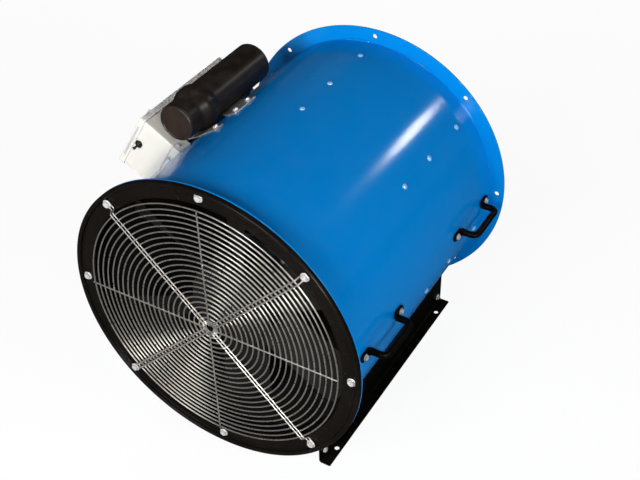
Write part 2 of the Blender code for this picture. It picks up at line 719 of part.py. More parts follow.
def add_motor_frame(fan):
    """Round frame with lengthwise ribs that centre it in the sleeve."""
    reach = inscribed(SLEEVE_RADIUS - SLEEVE_WALL, SLEEVE_SIDES) - GAP
    outer = []
    inner = []
    half = asin(RIB_WIDTH / 2 / FRAME_RADIUS)
    for rib in range(FRAME_RIBS):
        base = 2 * pi * rib / FRAME_RIBS
        rib_face = sqrt(reach ** 2 - (RIB_WIDTH / 2) ** 2)
        for side in (-1, 1):
            foot = polar(FRAME_RADIUS, base + side * half)
            top = polar(1.0, base) * rib_face + polar(1.0, base + pi / 2) * side * RIB_WIDTH / 2
            pair = [foot, top] if side < 0 else [top, foot]
            outer += pair
            inner += [polar(FRAME_BORE, base + side * half * share)
                      for share in ((1.0, 0.5) if side < 0 else (0.5, 1.0))]
        gap = 2 * pi / FRAME_RIBS - 2 * half
        for step in (1, 2):
            angle = base + half + gap * step / 3
            outer.append(polar(FRAME_RADIUS, angle))
            inner.append(polar(FRAME_BORE, angle))
    bm = bmesh.new()
    loops = []
    for along in (MOTOR_FRONT, MOTOR_REAR):
        for loop in (outer, inner):
            loops.append([bm.verts.new(point + Vector((0, along, 0))) for point in loop])
    front_outer, front_inner, rear_outer, rear_inner = loops
    count = len(outer)
    for i in range(count):
        j = (i + 1) % count
        bm.faces.new((front_outer[i], front_outer[j], front_inner[j], front_inner[i]))
        bm.faces.new((rear_outer[i], rear_inner[i], rear_inner[j], rear_outer[j]))
        bm.faces.new((front_outer[i], rear_outer[i], rear_outer[j], front_outer[j]))
        bm.faces.new((front_inner[i], front_inner[j], rear_inner[j], rear_inner[i]))
    add_part("motor_frame", bm, fan, MOTOR_GREY, 0.5)


def add_end_bell(fan, name, seat, outward, shaft_hole):
    """End shield: spigot into the frame and a bearing seat. Outward is -1 at the front."""
    face = seat + outward * (BELL_THICKNESS + GAP)
    back = seat - outward * (SPIGOT + BEARING_WIDTH)
    spigot = inscribed(FRAME_BORE, SLEEVE_SIDES) - 3 * GAP
    bore = BEARING_RADIUS + GAP
    pocket = face - outward * BELL_FLOOR
    profile = [
        (FRAME_RADIUS - BELL_CHAMFER, face),
        (FRAME_RADIUS, face - outward * BELL_CHAMFER),
        (FRAME_RADIUS, seat + outward * GAP),
        (spigot, seat + outward * GAP),
        (spigot, seat - outward * SPIGOT),
        (bore + FRAME_WALL, seat - outward * SPIGOT),
        (bore + FRAME_WALL, back),
        (bore, back),
        (bore, pocket),
    ]
    if shaft_hole:
        hole = SHAFT_RADIUS + 3 * GAP
        bm = turned(profile + [(hole, pocket), (hole, face)], SLEEVE_SIDES)
    else:
        bm = turned_solid(profile, SLEEVE_SIDES)
    add_part(name, bm, fan, MOTOR_GREY, 0.5)
    return pocket


def add_bearing(fan, name, front):
    """A sealed ball bearing, as one ring."""
    profile = [(SHAFT_RADIUS + GAP, front), (BEARING_RADIUS, front),
               (BEARING_RADIUS, front + BEARING_WIDTH), (SHAFT_RADIUS + GAP, front + BEARING_WIDTH)]
    add_part(name, turned(profile, SLEEVE_SIDES), fan, STEEL, 0.3, 0.9)


def add_motor(fan, rotor):
    add_motor_frame(fan)
    add_stator(fan)
    front_pocket = add_end_bell(fan, "front_end_bell", MOTOR_FRONT, -1, True)
    rear_pocket = add_end_bell(fan, "rear_end_bell", MOTOR_REAR, 1, False)
    add_bearing(fan, "front_bearing", front_pocket + GAP)
    add_bearing(fan, "rear_bearing", rear_pocket - GAP - BEARING_WIDTH)
    add_shaft(rotor)
    add_rotor_core(rotor)


# ---- sleeve and vanes ------------------------------------------------------------------------

def add_sleeve(fan, box):
    inner = SLEEVE_RADIUS - SLEEVE_WALL
    profile = [(inner, SLEEVE_FRONT), (SLEEVE_RADIUS, SLEEVE_FRONT),
               (SLEEVE_RADIUS, SLEEVE_REAR), (inner, SLEEVE_REAR)]
    sleeve = add_part("motor_sleeve", turned(profile, SLEEVE_SIDES), fan, BLUE, 0.3)
    combine(sleeve, "sleeve_conduit_hole",
            rod(CONDUIT_RADIUS + GAP, -2 * SLEEVE_WALL, SLEEVE_WALL, 12), "DIFFERENCE",
            place=(-SLEEVE_RADIUS, CONDUIT_ALONG, 0), turn=(0, 0, pi / 2), parent=box)


def add_vanes(fan):
    """Straightening vanes, flanged to the sleeve and to the housing."""
    outer = inscribed(BORE_RADIUS, SHELL_SIDES) - GAP - VANE_THICKNESS / 2
    inner = SLEEVE_RADIUS + GAP + VANE_THICKNESS / 2
    for number in range(VANES):
        base = FIRST_VANE - 2 * pi * number / VANES
        path = arc(outer, base - VANE_FLANGE / outer, base, 2)
        path += arc(inner, base, base + VANE_FLANGE / inner, 3)
        add_part("straightening_vane_%d" % (number + 1),
                 prism(thick_path(path, VANE_THICKNESS), VANE_FRONT, VANE_FRONT + VANE_LENGTH),
                 fan, BLUE, 0.3, smooth=False)


# ---- base and handles ------------------------------------------------------------------------

def add_rail(fan, name, side):
    """Bent sheet rail: a foot, a web and a saddle that follows the housing."""
    web = RAIL_WEB - RAIL_THICKNESS / 2
    saddle = HOUSING_RADIUS + GAP + RAIL_THICKNESS / 2
    start = -acos(web / saddle)
    path = [(web + RAIL_FOOT - RAIL_THICKNESS, -AXIS_HEIGHT + RAIL_THICKNESS / 2),
            (web, -AXIS_HEIGHT + RAIL_THICKNESS / 2)]
    path += arc(saddle, start, start - RAIL_SADDLE, 2)
    outline = [(side * x, z) for x, z in thick_path(path, RAIL_THICKNESS)]
    bm = prism(outline, RAIL_FRONT, RAIL_FRONT + RAIL_LENGTH)
    foot_edge = RAIL_WEB + RAIL_FOOT - 2 * RAIL_THICKNESS
    corners = [edge for edge in bm.edges
               if all(abs(vert.co.x) > foot_edge for vert in edge.verts)
               and abs(edge.verts[0].co.z - edge.verts[1].co.z) > RAIL_THICKNESS / 2]
    bmesh.ops.bevel(bm, geom=corners, offset=FOOT_CORNER, segments=1, affect="EDGES")
    rail = add_part(name, bm, fan, BLACK, 0.4, smooth=False)
    hole_x = side * (RAIL_WEB + (RAIL_FOOT - RAIL_THICKNESS) / 2)
    places = [(hole_x, -(RAIL_FRONT + FOOT_HOLE_INSET)),
              (hole_x, -(RAIL_FRONT + RAIL_LENGTH - FOOT_HOLE_INSET))]
    combine(rail, name + "_holes", pins(places, FOOT_HOLE_RADIUS, -RAIL_THICKNESS, 2 * RAIL_THICKNESS),
            "DIFFERENCE", place=(0, 0, -AXIS_HEIGHT), turn=(pi / 2, 0, 0))


def fillet_path(corners, radius, steps):
    """Points along a run of straight legs with rounded corners."""
    points = [Vector(corners[0])]
    for before, corner, after in zip(corners, corners[1:], corners[2:]):
        corner = Vector(corner)
        into = (corner - Vector(before)).normalized()
        out = (Vector(after) - corner).normalized()
        start = corner - into * radius
        centre = start + (out - into * out.dot(into)).normalized() * radius
        for i in range(steps + 1):
            angle = acos(into.dot(out)) * i / steps
            points.append(centre + (start - centre) * cos(angle) + into * radius * sin(angle))
    points.append(Vector(corners[-1]))
    return points


def add_handle(fan, name, side, first_bolt):
    """Round grip whose two ends are flattened into bolted tabs."""
    base = HOUSING_RADIUS + GAP + HANDLE_TAB_THICKNESS
    reach = HOUSING_RADIUS + HANDLE_REACH
    second_bolt = first_bolt + HANDLE_BOLTS
    leg = HANDLE_TAB + HANDLE_ROD
    corners = [(base, first_bolt - HANDLE_TAB), (base, first_bolt + leg), (reach, first_bolt + leg),
               (reach, second_bolt - leg), (base, second_bolt - leg), (base, second_bolt + HANDLE_TAB)]
    ends = fillet_path(corners[:3], HANDLE_ROD, 2)
    middle = fillet_path(corners[1:5], HANDLE_BEND, 3)
    path = ends[:-1] + middle[1:-1]
    path += [Vector((x, first_bolt + second_bolt - y)) for x, y in ends[:-1]][::-1]
    bm = bmesh.new()
    rows = []
    sides = 8
    stretch = 1 / cos(pi / sides)
    for i, point in enumerate(path):
        before = path[max(i - 1, 0)]
        after = path[min(i + 1, len(path) - 1)]
        forward = (after - before).normalized()
        out = Vector((-forward.y, forward.x))
        from_end = min(i, len(path) - 1 - i)
        flatness = max(0.0, 1.0 - max(0, from_end - 1) / 3)
        half_out = HANDLE_ROD + (HANDLE_TAB_THICKNESS - HANDLE_ROD) * flatness
        half_wide = HANDLE_ROD + (HANDLE_TAB_WIDTH - HANDLE_ROD) * flatness
        row = []
        for k in range(sides):
            angle = 2 * pi * (k + 0.5) / sides
            spot = point + out * half_out * stretch * sin(angle)
            row.append(bm.verts.new((side * spot.x, spot.y, half_wide * stretch * cos(angle))))
        rows.append(row)
    for row, following in zip(rows, rows[1:]):
        for k in range(sides):
            m = (k + 1) % sides
            bm.faces.new((row[k], row[m], following[m], following[k]))
    bm.faces.new(rows[0][::-1])
    bm.faces.new(rows[-1])
    add_part(name, bm, fan, BLACK, 0.35)


# ---- control enclosure -----------------------------------------------------------------------

def open_tray(low, high, wall, end):
    """A box with one open side; end is -1 or 1, the side of x that is open."""
    bm = block(low, high)
    bmesh.ops.recalc_face_normals(bm, faces=bm.faces)
    mouth = next(face for face in bm.faces if face.normal.x * end > 0.9)
    bmesh.ops.inset_region(bm, faces=[mouth], thickness=wall)
    pushed = bmesh.ops.extrude_face_region(bm, geom=[mouth])
    moved = [item for item in pushed["geom"] if isinstance(item, bmesh.types.BMVert)]
    bmesh.ops.translate(bm, verts=moved, vec=(-end * (high[0] - low[0] - wall), 0, 0))
    bmesh.ops.delete(bm, geom=[mouth], context="FACES_ONLY")
    return bm


def screw_stations():
    return [BOX_MIDDLE - SCREW_SPACING / 2, BOX_MIDDLE + SCREW_SPACING / 2]


def add_box(box):
    """Enclosure tray with its screw posts, hinge knuckles and holes."""
    half = BOX_HEIGHT / 2
    tray = open_tray((-BOX_EDGE, BOX_FRONT, -half), (-BOX_BACK, BOX_FRONT + BOX_LENGTH, half), BOX_WALL,
                     -1)
    enclosure = add_part("control_box", tray, box, CREAM, 0.35, smooth=False)
    for i, station in enumerate(screw_stations()):
        low = (-BOX_EDGE + GAP, station - POST_WIDTH / 2, SCREW_HEIGHT - POST_WIDTH / 2)
        high = (-BOX_EDGE + POST_DEPTH, station + POST_WIDTH / 2, half - BOX_WALL / 2)
        combine(enclosure, "screw_post_%d" % i, block(low, high), "UNION")
        combine(enclosure, "screw_post_hole_%d" % i,
                rod(SCREW_RADIUS + SCREW_SWING, -POST_DEPTH / 2, POST_HOLE_DEPTH, 12), "DIFFERENCE",
                place=(-BOX_EDGE, station, SCREW_HEIGHT), turn=(0, 0, -pi / 2))
    for i, station in enumerate(knuckle_stations(0)):
        combine(enclosure, "box_knuckle_%d" % i,
                hinge_leaf(1, HINGE_DROP - half + BOX_WALL / 2, station), "UNION",
                place=(-COVER_RIM, 0, -HINGE_DROP))
    combine(enclosure, "box_pin_hole",
            rod(HINGE_PIN + HINGE_CLEARANCE, BOX_FRONT, BOX_FRONT + BOX_LENGTH, 12), "DIFFERENCE",
            place=(-COVER_RIM, 0, -HINGE_DROP))
    combine(enclosure, "switch_hole",
            rod(BUSHING_RADIUS + GAP, BOX_FRONT - BOX_WALL, BOX_FRONT + 2 * BOX_WALL, 16), "DIFFERENCE",
            place=(-TOGGLE_RADIAL, 0, TOGGLE_UP))
    combine(enclosure, "box_conduit_hole",
            rod(CONDUIT_RADIUS + GAP, -2 * BOX_WALL, 2 * BOX_WALL, 12), "DIFFERENCE",
            place=(-BOX_BACK, CONDUIT_ALONG, 0), turn=(0, 0, -pi / 2))


def knuckle_stations(first):
    """Starts of every second hinge knuckle; the enclosure has the even ones, the cover the odd."""
    start = BOX_MIDDLE - HINGE_KNUCKLES * KNUCKLE_SPACING / 2
    return [start + KNUCKLE_SPACING * i for i in range(first, HINGE_KNUCKLES, 2)]


def hinge_leaf(side, rise, station):
    """Rolled knuckle round the pin, with a leaf that rises on one side of it."""
    last = acos(HINGE_CLEARANCE / HINGE_KNUCKLE) - 2 * pi
    outline = arc(HINGE_KNUCKLE, 0, last, 10)
    outline += [(HINGE_CLEARANCE, rise), (HINGE_KNUCKLE, rise)]
    return prism([(side * x, z) for x, z in outline], station, station + KNUCKLE_LENGTH)


def add_cover(box, hinge):
    """Cover tray that laps the enclosure, hinged along its lower rim."""
    low = Vector((-COVER_FACE, COVER_FRONT, -COVER_HALF)) - hinge.location
    high = Vector((-COVER_RIM, COVER_FRONT + COVER_LENGTH, COVER_HALF)) - hinge.location
    cover = add_part("control_cover", open_tray(low, high, COVER_WALL, 1), hinge, CREAM, 0.35,
                     smooth=False)
    for i, station in enumerate(knuckle_stations(1)):
        combine(cover, "cover_knuckle_%d" % i,
                hinge_leaf(-1, HINGE_OFFSET + COVER_WALL / 2, station), "UNION")
    combine(cover, "cover_pin_hole",
            rod(HINGE_PIN + HINGE_CLEARANCE, BOX_FRONT, BOX_FRONT + BOX_LENGTH, 12), "DIFFERENCE")
    for i, station in enumerate(screw_stations()):
        place = Vector((-COVER_FACE, station, SCREW_HEIGHT)) - hinge.location
        combine(cover, "cover_screw_hole_%d" % i,
                rod(SCREW_RADIUS + GAP, -2 * COVER_WALL, 2 * COVER_WALL, 12), "DIFFERENCE",
                place=place, turn=(0, 0, -pi / 2))
        profile = [(SCREW_HEAD_RADIUS, -GAP - SCREW_HEAD_HEIGHT), (SCREW_HEAD_RADIUS, -GAP),
                   (SCREW_RADIUS, -GAP), (SCREW_RADIUS, COVER_WALL + SCREW_LENGTH)]
        add_part("cover_screw_%d" % (i + 1), turned_solid(profile, 12), hinge, ZINC, 0.35, 0.8,
                 place=place, turn=(0, 0, -pi / 2))


def add_hinge_pin(box):
    length = HINGE_KNUCKLES * KNUCKLE_SPACING
    add_part("hinge_pin",
             rod(HINGE_PIN, BOX_MIDDLE - length / 2 - HINGE_PIN, BOX_MIDDLE + length / 2 + HINGE_PIN, 12),
             box, STEEL, 0.35, 0.9, place=(-COVER_RIM, 0, -HINGE_DROP))


def add_toggle(box, pivot):
    """Switch body with its bushing through the wall, the nut outside and the lever."""
    wall_in = BOX_FRONT + BOX_WALL + GAP
    mouth = BOX_FRONT - BUSHING_REACH
    cup = BUSHING_RADIUS - BUSHING_WALL
    body = add_part("switch_body", block((-SWITCH_WIDTH / 2, wall_in, -SWITCH_HEIGHT / 2),
                                         (SWITCH_WIDTH / 2, wall_in + SWITCH_DEPTH, SWITCH_HEIGHT / 2)),
                    box, PLASTIC, 0.5, place=(-TOGGLE_RADIAL, 0, TOGGLE_UP), smooth=False)
    combine(body, "switch_bushing", rod(BUSHING_RADIUS, mouth, wall_in + BOX_WALL, 16), "UNION",
            place=(-TOGGLE_RADIAL, 0, TOGGLE_UP))
    combine(body, "switch_cup", rod(cup, mouth - BOX_WALL, BOX_FRONT + 2 * LEVER_RADIUS, 16),
            "DIFFERENCE", place=(-TOGGLE_RADIAL, 0, TOGGLE_UP))
    nut_bore = BUSHING_RADIUS + GAP
    nut = [(nut_bore, BOX_FRONT - GAP - NUT_THICKNESS), (NUT_RADIUS, BOX_FRONT - GAP - NUT_THICKNESS),
           (NUT_RADIUS, BOX_FRONT - GAP), (nut_bore, BOX_FRONT - GAP)]
    add_part("switch_nut", turned(nut, 12), box, BLACK, 0.4, place=(-TOGGLE_RADIAL, 0, TOGGLE_UP))
    ball = inscribed(cup, 16) - GAP
    lever = [
        (ball * 0.5, ball * 0.85),
        (ball, 0.0),
        (LEVER_RADIUS, -ball * 0.8),
        (LEVER_RADIUS, -LEVER_LENGTH + LEVER_RADIUS / 2),
        (LEVER_RADIUS * 0.6, -LEVER_LENGTH),
    ]
    add_part("switch_lever", turned_solid(lever, 12), pivot, PLASTIC, 0.45, turn=(LEVER_TILT, 0, 0))


def add_box_gear(box):
    """Contactor and terminal block on the enclosure's back wall."""
    inner_back = -BOX_BACK - BOX_WALL - GAP
    contactor = block((inner_back - CONTACTOR_DEPTH, CONTACTOR_FRONT, -CONTACTOR_HEIGHT / 2),
                      (inner_back, CONTACTOR_FRONT + CONTACTOR_LENGTH, CONTACTOR_HEIGHT / 2))
    terminals = block((inner_back - TERMINAL_DEPTH, TERMINAL_FRONT, -TERMINAL_HEIGHT / 2),
                      (inner_back, TERMINAL_FRONT + TERMINAL_LENGTH, TERMINAL_HEIGHT / 2))
    add_part("contactor", contactor, box, PLASTIC, 0.5, smooth=False)
    add_part("terminal_block", terminals, box, BRASS, 0.5, smooth=False)


# ---- capacitor housing, straps and conduit ---------------------------------------------------

def add_capacitor_housing(fan):
    axis = (TUBE_X, 0, TUBE_Z)
    inner = TUBE_RADIUS - TUBE_WALL
    bell_bore = PLUG_RADIUS + GAP
    shoulder = BELL_FRONT + BELL_LENGTH
    tube = [
        (bell_bore, BELL_FRONT),
        (BELL_MOUTH_RADIUS, BELL_FRONT),
        (BELL_RADIUS, BELL_FRONT + BELL_SHOULDER),
        (BELL_RADIUS, shoulder),
        (TUBE_RADIUS, shoulder + BELL_SHOULDER),
        (TUBE_RADIUS, TUBE_REAR - TUBE_WALL),
        (TUBE_RADIUS - TUBE_WALL, TUBE_REAR),
    ]
    cavity = [(inner, TUBE_REAR - TUBE_WALL), (inner, BELL_FRONT + PLUG_SPIGOT + TUBE_WALL),
              (bell_bore, BELL_FRONT + PLUG_SPIGOT + TUBE_WALL)]
    add_part("capacitor_tube", cup_shape(tube, cavity), fan, PLASTIC, 0.35, place=axis)
    plug = [
        (PLUG_RADIUS - 2 * PLUG_RIM, TUBE_FRONT),
        (PLUG_RADIUS, TUBE_FRONT + PLUG_RIM),
        (PLUG_RADIUS, BELL_FRONT + PLUG_SPIGOT),
    ]
    add_part("capacitor_plug", turned_solid(plug, SMALL_SIDES), fan, PLASTIC, 0.45, place=axis)
    can = [(CAPACITOR_RADIUS, CAPACITOR_FRONT), (CAPACITOR_RADIUS, CAPACITOR_FRONT + CAPACITOR_LENGTH)]
    drop = inscribed(inner, SMALL_SIDES) - CAPACITOR_RADIUS - GAP
    add_part("run_capacitor", turned_solid(can, SMALL_SIDES), fan, CAST, 0.4, 0.8,
             place=(TUBE_X, 0, TUBE_Z - drop))


def cup_shape(outside, cavity):
    """Turn an outside outline and a cavity outline that meet at the mouth, closed at the far end."""
    bm = turned_solid(outside[1:], SMALL_SIDES)
    lids = [face for face in bm.faces if len(face.verts) > 4 and face.calc_center_median().y < outside[2][1]]
    bmesh.ops.delete(bm, geom=lids, context="FACES_ONLY")
    inside = turned_solid(cavity + [outside[0]], SMALL_SIDES)
    inner_lids = [face for face in inside.faces
                  if len(face.verts) > 4 and face.calc_center_median().y < outside[2][1]]
    bmesh.ops.delete(inside, geom=inner_lids, context="FACES_ONLY")
    mesh = bpy.data.meshes.new("cavity")
    inside.to_mesh(mesh)
    inside.free()
    bm.from_mesh(mesh)
    bpy.data.meshes.remove(mesh)
    rims = [edge for edge in bm.edges if edge.is_boundary]
    bmesh.ops.bridge_loops(bm, edges=rims)
    return bm


def add_straps(box):
    """Bent straps on the housing, under the enclosure and the capacitor housing.

    The bell rests on the front strap; the rear strap rises to the smaller tube.
    """
    on_shell = HOUSING_RADIUS + GAP + STRAP_THICKNESS / 2
    under_box = BOX_BACK - GAP - STRAP_THICKNESS / 2
    under_tube = TUBE_AXIS_RADIUS - TUBE_RADIUS - GAP - STRAP_THICKNESS / 2
    pad = STRAP_PAD / TUBE_AXIS_RADIUS
    tab_start = TUBE_SIDE + STRAP_RUN / HOUSING_RADIUS
    tab_end = tab_start + STRAP_TAB / HOUSING_RADIUS
    flat = BOX_HEIGHT / 2 - STRAP_INSET
    foot_start = (flat + STRAP_DROP) / HOUSING_RADIUS
    foot_end = foot_start + STRAP_FOOT / HOUSING_RADIUS
    for name, front, width, rest in (("mounting_strap_front", FRONT_STRAP, FRONT_STRAP_WIDTH, on_shell),
                                     ("mounting_strap_rear", REAR_STRAP, REAR_STRAP_WIDTH, under_tube)):
        path = [bend_point(on_shell, tab_end), bend_point(on_shell, tab_start),
                bend_point(rest, TUBE_SIDE + pad), bend_point(rest, TUBE_SIDE - pad),
                (-under_box, flat), (-under_box, -flat),
                bend_point(on_shell, -foot_start), bend_point(on_shell, -foot_end)]
        add_part(name, prism(thick_path(path, STRAP_THICKNESS), front, front + width), box, ZINC, 0.35,
                 0.8, smooth=False)


def bend_point(radius, angle):
    """Point on a circle round the fan's axis, at an angle up from the enclosure's middle."""
    return (-radius * cos(angle), radius * sin(angle))


def add_conduit(box):
    """Tube for the motor's leads, from the sleeve into the enclosure, and its locknut."""
    start = SLEEVE_RADIUS - SLEEVE_WALL
    end = BOX_BACK + BOX_WALL + LOCKNUT_THICKNESS + 2 * GAP
    inner = CONDUIT_RADIUS - CONDUIT_WALL
    tube = [(inner, start), (CONDUIT_RADIUS, start), (CONDUIT_RADIUS, end), (inner, end)]
    add_part("lead_conduit", turned(tube, 12), box, STEEL, 0.4, 0.8,
             place=(0, CONDUIT_ALONG, 0), turn=(0, 0, pi / 2))
    front = BOX_BACK + BOX_WALL + GAP
    bore = CONDUIT_RADIUS + GAP
    nut = [(bore, front), (LOCKNUT_RADIUS, front), (LOCKNUT_RADIUS, front + LOCKNUT_THICKNESS),
           (bore, front + LOCKNUT_THICKNESS)]
    add_part("conduit_locknut", turned(nut, 12), box, ZINC, 0.4, 0.8,
             place=(0, CONDUIT_ALONG, 0), turn=(0, 0, pi / 2))


# ---- assembly --------------------------------------------------------------------------------

def build():
    remove_all_objects()
    fan = add_empty("fan_axis", (AXIS_X, INLET_Y, AXIS_HEIGHT))
    rotor = add_empty("rotor_axis", (0, 0, 0), fan)
    box = add_empty("enclosure_frame", (0, 0, 0), fan, (0, BOX_TILT, 0))
    hinge = add_empty("cover_hinge", (-COVER_RIM, 0, -HINGE_DROP), box)
    pivot = add_empty("switch_pivot", (-TOGGLE_RADIAL, BOX_FRONT, TOGGLE_UP), box)
    add_housing(fan, box)
    add_flange(fan, "inlet_flange", INLET_FACE, INLET_CIRCLE, BOLT_RADIUS + BOLT_CLEARANCE)
    add_flange(fan, "outlet_flange", OUTLET_FACE - FLANGE_THICKNESS, OUTLET_CIRCLE, OUTLET_HOLE_RADIUS)
    add_venturi(fan)
    add_guard(fan)
    add_guard_bolts(fan)
    add_sleeve(fan, box)
    add_vanes(fan)
    add_motor(fan, rotor)
    add_hub(rotor)
    add_blades(rotor)
    add_hub_bolt(rotor)
    for name, side in (("base_rail_right", 1), ("base_rail_left", -1)):
        add_rail(fan, name, side)
    for side_name, side in (("right", 1), ("left", -1)):
        add_handle(fan, "handle_front_" + side_name, side, HANDLE_FIRST)
        add_handle(fan, "handle_rear_" + side_name, side, HANDLE_SECOND)
    add_box(box)
    add_cover(box, hinge)
    add_hinge_pin(box)
    add_toggle(box, pivot)
    add_box_gear(box)
    add_capacitor_housing(fan)
    add_straps(box)
    add_conduit(box)


build()
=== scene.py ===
"""Looks of the in-line axial fan.

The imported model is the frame: every size and place below comes from its parts or is a named value
in metres. Round parts are placed from the middle of the inlet plate, with the air along +Y; the
control enclosure has its own turned frame, in which -X points out of its cover.
"""
import json
from math import acos, atan2, copysign, cos, hypot, pi, radians, sin, sqrt, tan

import bmesh
import bpy
from mathutils import Matrix, Vector


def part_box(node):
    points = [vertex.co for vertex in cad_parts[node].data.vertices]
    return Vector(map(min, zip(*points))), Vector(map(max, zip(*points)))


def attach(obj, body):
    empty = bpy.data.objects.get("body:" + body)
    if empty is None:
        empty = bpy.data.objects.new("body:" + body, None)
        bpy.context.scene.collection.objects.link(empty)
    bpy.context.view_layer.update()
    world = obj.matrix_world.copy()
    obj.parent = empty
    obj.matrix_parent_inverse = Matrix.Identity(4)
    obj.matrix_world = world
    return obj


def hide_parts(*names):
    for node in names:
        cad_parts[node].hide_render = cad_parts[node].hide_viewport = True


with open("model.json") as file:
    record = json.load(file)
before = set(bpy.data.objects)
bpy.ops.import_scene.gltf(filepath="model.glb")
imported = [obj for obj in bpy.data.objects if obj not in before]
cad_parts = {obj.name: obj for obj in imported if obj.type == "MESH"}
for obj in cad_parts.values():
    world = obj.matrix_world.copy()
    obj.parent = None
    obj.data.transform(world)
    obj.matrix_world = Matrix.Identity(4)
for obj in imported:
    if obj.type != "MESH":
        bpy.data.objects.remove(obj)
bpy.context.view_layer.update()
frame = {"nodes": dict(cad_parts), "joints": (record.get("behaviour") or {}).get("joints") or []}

# ---- places from the frame -------------------------------------------------------------------

GAP = 0.0003                    # between two faces that rest on each other
PLATE = 0.002                   # sheet of the inlet ring
BOLTS = 8                       # on each flange


def span(node):
    """Start and end of a part along the fan, from the front of the inlet plate."""
    low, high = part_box(node)
    return low.y - PLANE_Y, high.y - PLANE_Y


def middle(node):
    """Middle of a part across the fan, as (x, z)."""
    low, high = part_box(node)
    return (low.x + high.x) / 2, (low.z + high.z) / 2


def radius_of(node):
    low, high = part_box(node)
    return (high.x - low.x) / 2


AXIS_X, AXIS_Z = middle("fan_housing")
PLANE_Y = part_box("inlet_flange")[0].y - PLATE - GAP
FAN = Matrix.Translation((AXIS_X, PLANE_Y, AXIS_Z))
SHELL = radius_of("fan_housing")
SHELL_FRONT, SHELL_REAR = span("fan_housing")
BORE = SHELL - 0.003
FLANGE = radius_of("inlet_flange")
INLET_CIRCLE = middle("guard_bolt_1")[0] - AXIS_X
OUTLET_CIRCLE = (SHELL + FLANGE) / 2

lever_joint = next(joint for joint in frame["joints"] if joint["name"] == "switch_throw")
TILT = atan2(lever_joint["axis"][2], -lever_joint["axis"][0])
BOX = FAN @ Matrix.Rotation(TILT, 4, "Y")
UPRIGHT = Matrix.Rotation(pi / 2, 4, "X")


# ---- outlines --------------------------------------------------------------------------------

def arc(radius, start, end, steps, centre=(0.0, 0.0)):
    """Points of an arc in a plane, ends included."""
    return [(centre[0] + radius * cos(start + (end - start) * i / steps),
             centre[1] + radius * sin(start + (end - start) * i / steps)) for i in range(steps + 1)]


def circle(radius, count, centre=(0.0, 0.0)):
    return arc(radius, 0, 2 * pi * (count - 1) / count, count - 1, centre)


def rectangle(low_a, high_a, low_b, high_b):
    return [(low_a, low_b), (high_a, low_b), (high_a, high_b), (low_a, high_b)]


def polar(radius, angle, along=0.0):
    return Vector((radius * cos(angle), along, radius * sin(angle)))


def slid(x=0.0, y=0.0, z=0.0):
    return Matrix.Translation((x, y, z))


def rounded(outline, radius, steps=4, closed=True):
    """Replace the corners of an outline by arcs; radius is one value or one for each corner."""
    count = len(outline)
    radii = radius if isinstance(radius, list) else [radius] * count
    points = []
    for i, (corner, size) in enumerate(zip(outline, radii)):
        if size <= 0 or (not closed and i in (0, count - 1)):
            points.append(tuple(corner))
            continue
        here = Vector(corner)
        back = Vector(outline[i - 1]) - here
        ahead = Vector(outline[(i + 1) % count]) - here
        half = back.angle(ahead, pi) / 2
        reach = min(size / max(tan(half), 1e-6), back.length * 0.49, ahead.length * 0.49)
        back.normalize()
        ahead.normalize()
        centre = here + (back + ahead).normalized() * hypot(reach, reach * tan(half))
        spoke = here + back * reach - centre
        turn = spoke.angle_signed(here + ahead * reach - centre, 0.0)
        points += [tuple(centre + Matrix.Rotation(-turn * k / steps, 2) @ spoke)
                   for k in range(steps + 1)]
    return points


# ---- meshes ----------------------------------------------------------------------------------

def linked(name, data):
    """New object in the scene."""
    thing = bpy.data.objects.new(name, data)
    bpy.context.scene.collection.objects.link(thing)
    return thing


def result_of(thing):
    """Plain mesh of an object once its modifiers are done."""
    view = bpy.context.evaluated_depsgraph_get()
    return bpy.data.meshes.new_from_object(thing.evaluated_get(view))


def as_mesh(bm, name="part"):
    mesh = bpy.data.meshes.new(name)
    bm.to_mesh(mesh)
    bm.free()
    return mesh


def as_bmesh(*meshes):
    """One bmesh from meshes, which are used up."""
    bm = bmesh.new()
    for mesh in meshes:
        bm.from_mesh(mesh)
        bpy.data.meshes.remove(mesh)
    return bm


def joined(*shapes):
    return as_bmesh(*[as_mesh(shape) for shape in shapes])


def faced_out(bm):
    bmesh.ops.recalc_face_normals(bm, faces=bm.faces)
    return bm


def moved(bm, matrix):
    bmesh.ops.transform(bm, matrix=matrix, verts=bm.verts)
    if matrix.determinant() < 0:
        bmesh.ops.reverse_faces(bm, faces=bm.faces)
    return bm


def lofted(rows):
    """Closed skin over rows of points."""
    bm = bmesh.new()
    rows = [[bm.verts.new(point) for point in row] for row in rows]
    for row, following in zip(rows, rows[1:]):
        for k, vert in enumerate(row):
            m = (k + 1) % len(row)
            bm.faces.new((vert, row[m], following[m], following[k]))
    bm.faces.new(rows[0][::-1])
    bm.faces.new(rows[-1])
    return faced_out(bm)


def prism(outline, front, rear):
    """Extrude a closed (x, z) outline along the fan."""
    return lofted([[(x, along, z) for x, z in outline] for along in (front, rear)])


def turned(profile, sides):
    """Revolve closed (radius, along) points round the fan's axis; a radius of 0 is on the axis."""
    bm = bmesh.new()
    rows = []
    for i in range(sides):
        angle = 2 * pi * i / sides
        rows.append([reach > 0 and bm.verts.new(polar(reach, angle, along)) for reach, along in profile])
    for k, (reach, along) in enumerate(profile):
        if reach <= 0:
            pole = bm.verts.new((0, along, 0))
            for row in rows:
                row[k] = pole
    for row, following in zip(rows, rows[1:] + rows[:1]):
        for k in range(len(profile)):
            m = (k + 1) % len(profile)
            corners = list(dict.fromkeys((row[k], row[m], following[m], following[k])))
            if len(corners) > 2:
                bm.faces.new(corners)
    return faced_out(bm)


def solid_turned(profile, sides):
    """Revolve an outline that starts and ends on the axis."""
    return turned([(0.0, profile[0][1])] + profile + [(0.0, profile[-1][1])], sides)


def tube(inner, outer, front, rear, edge, sides):
    return turned(rounded(rectangle(inner, outer, front, rear), edge, 2), sides)


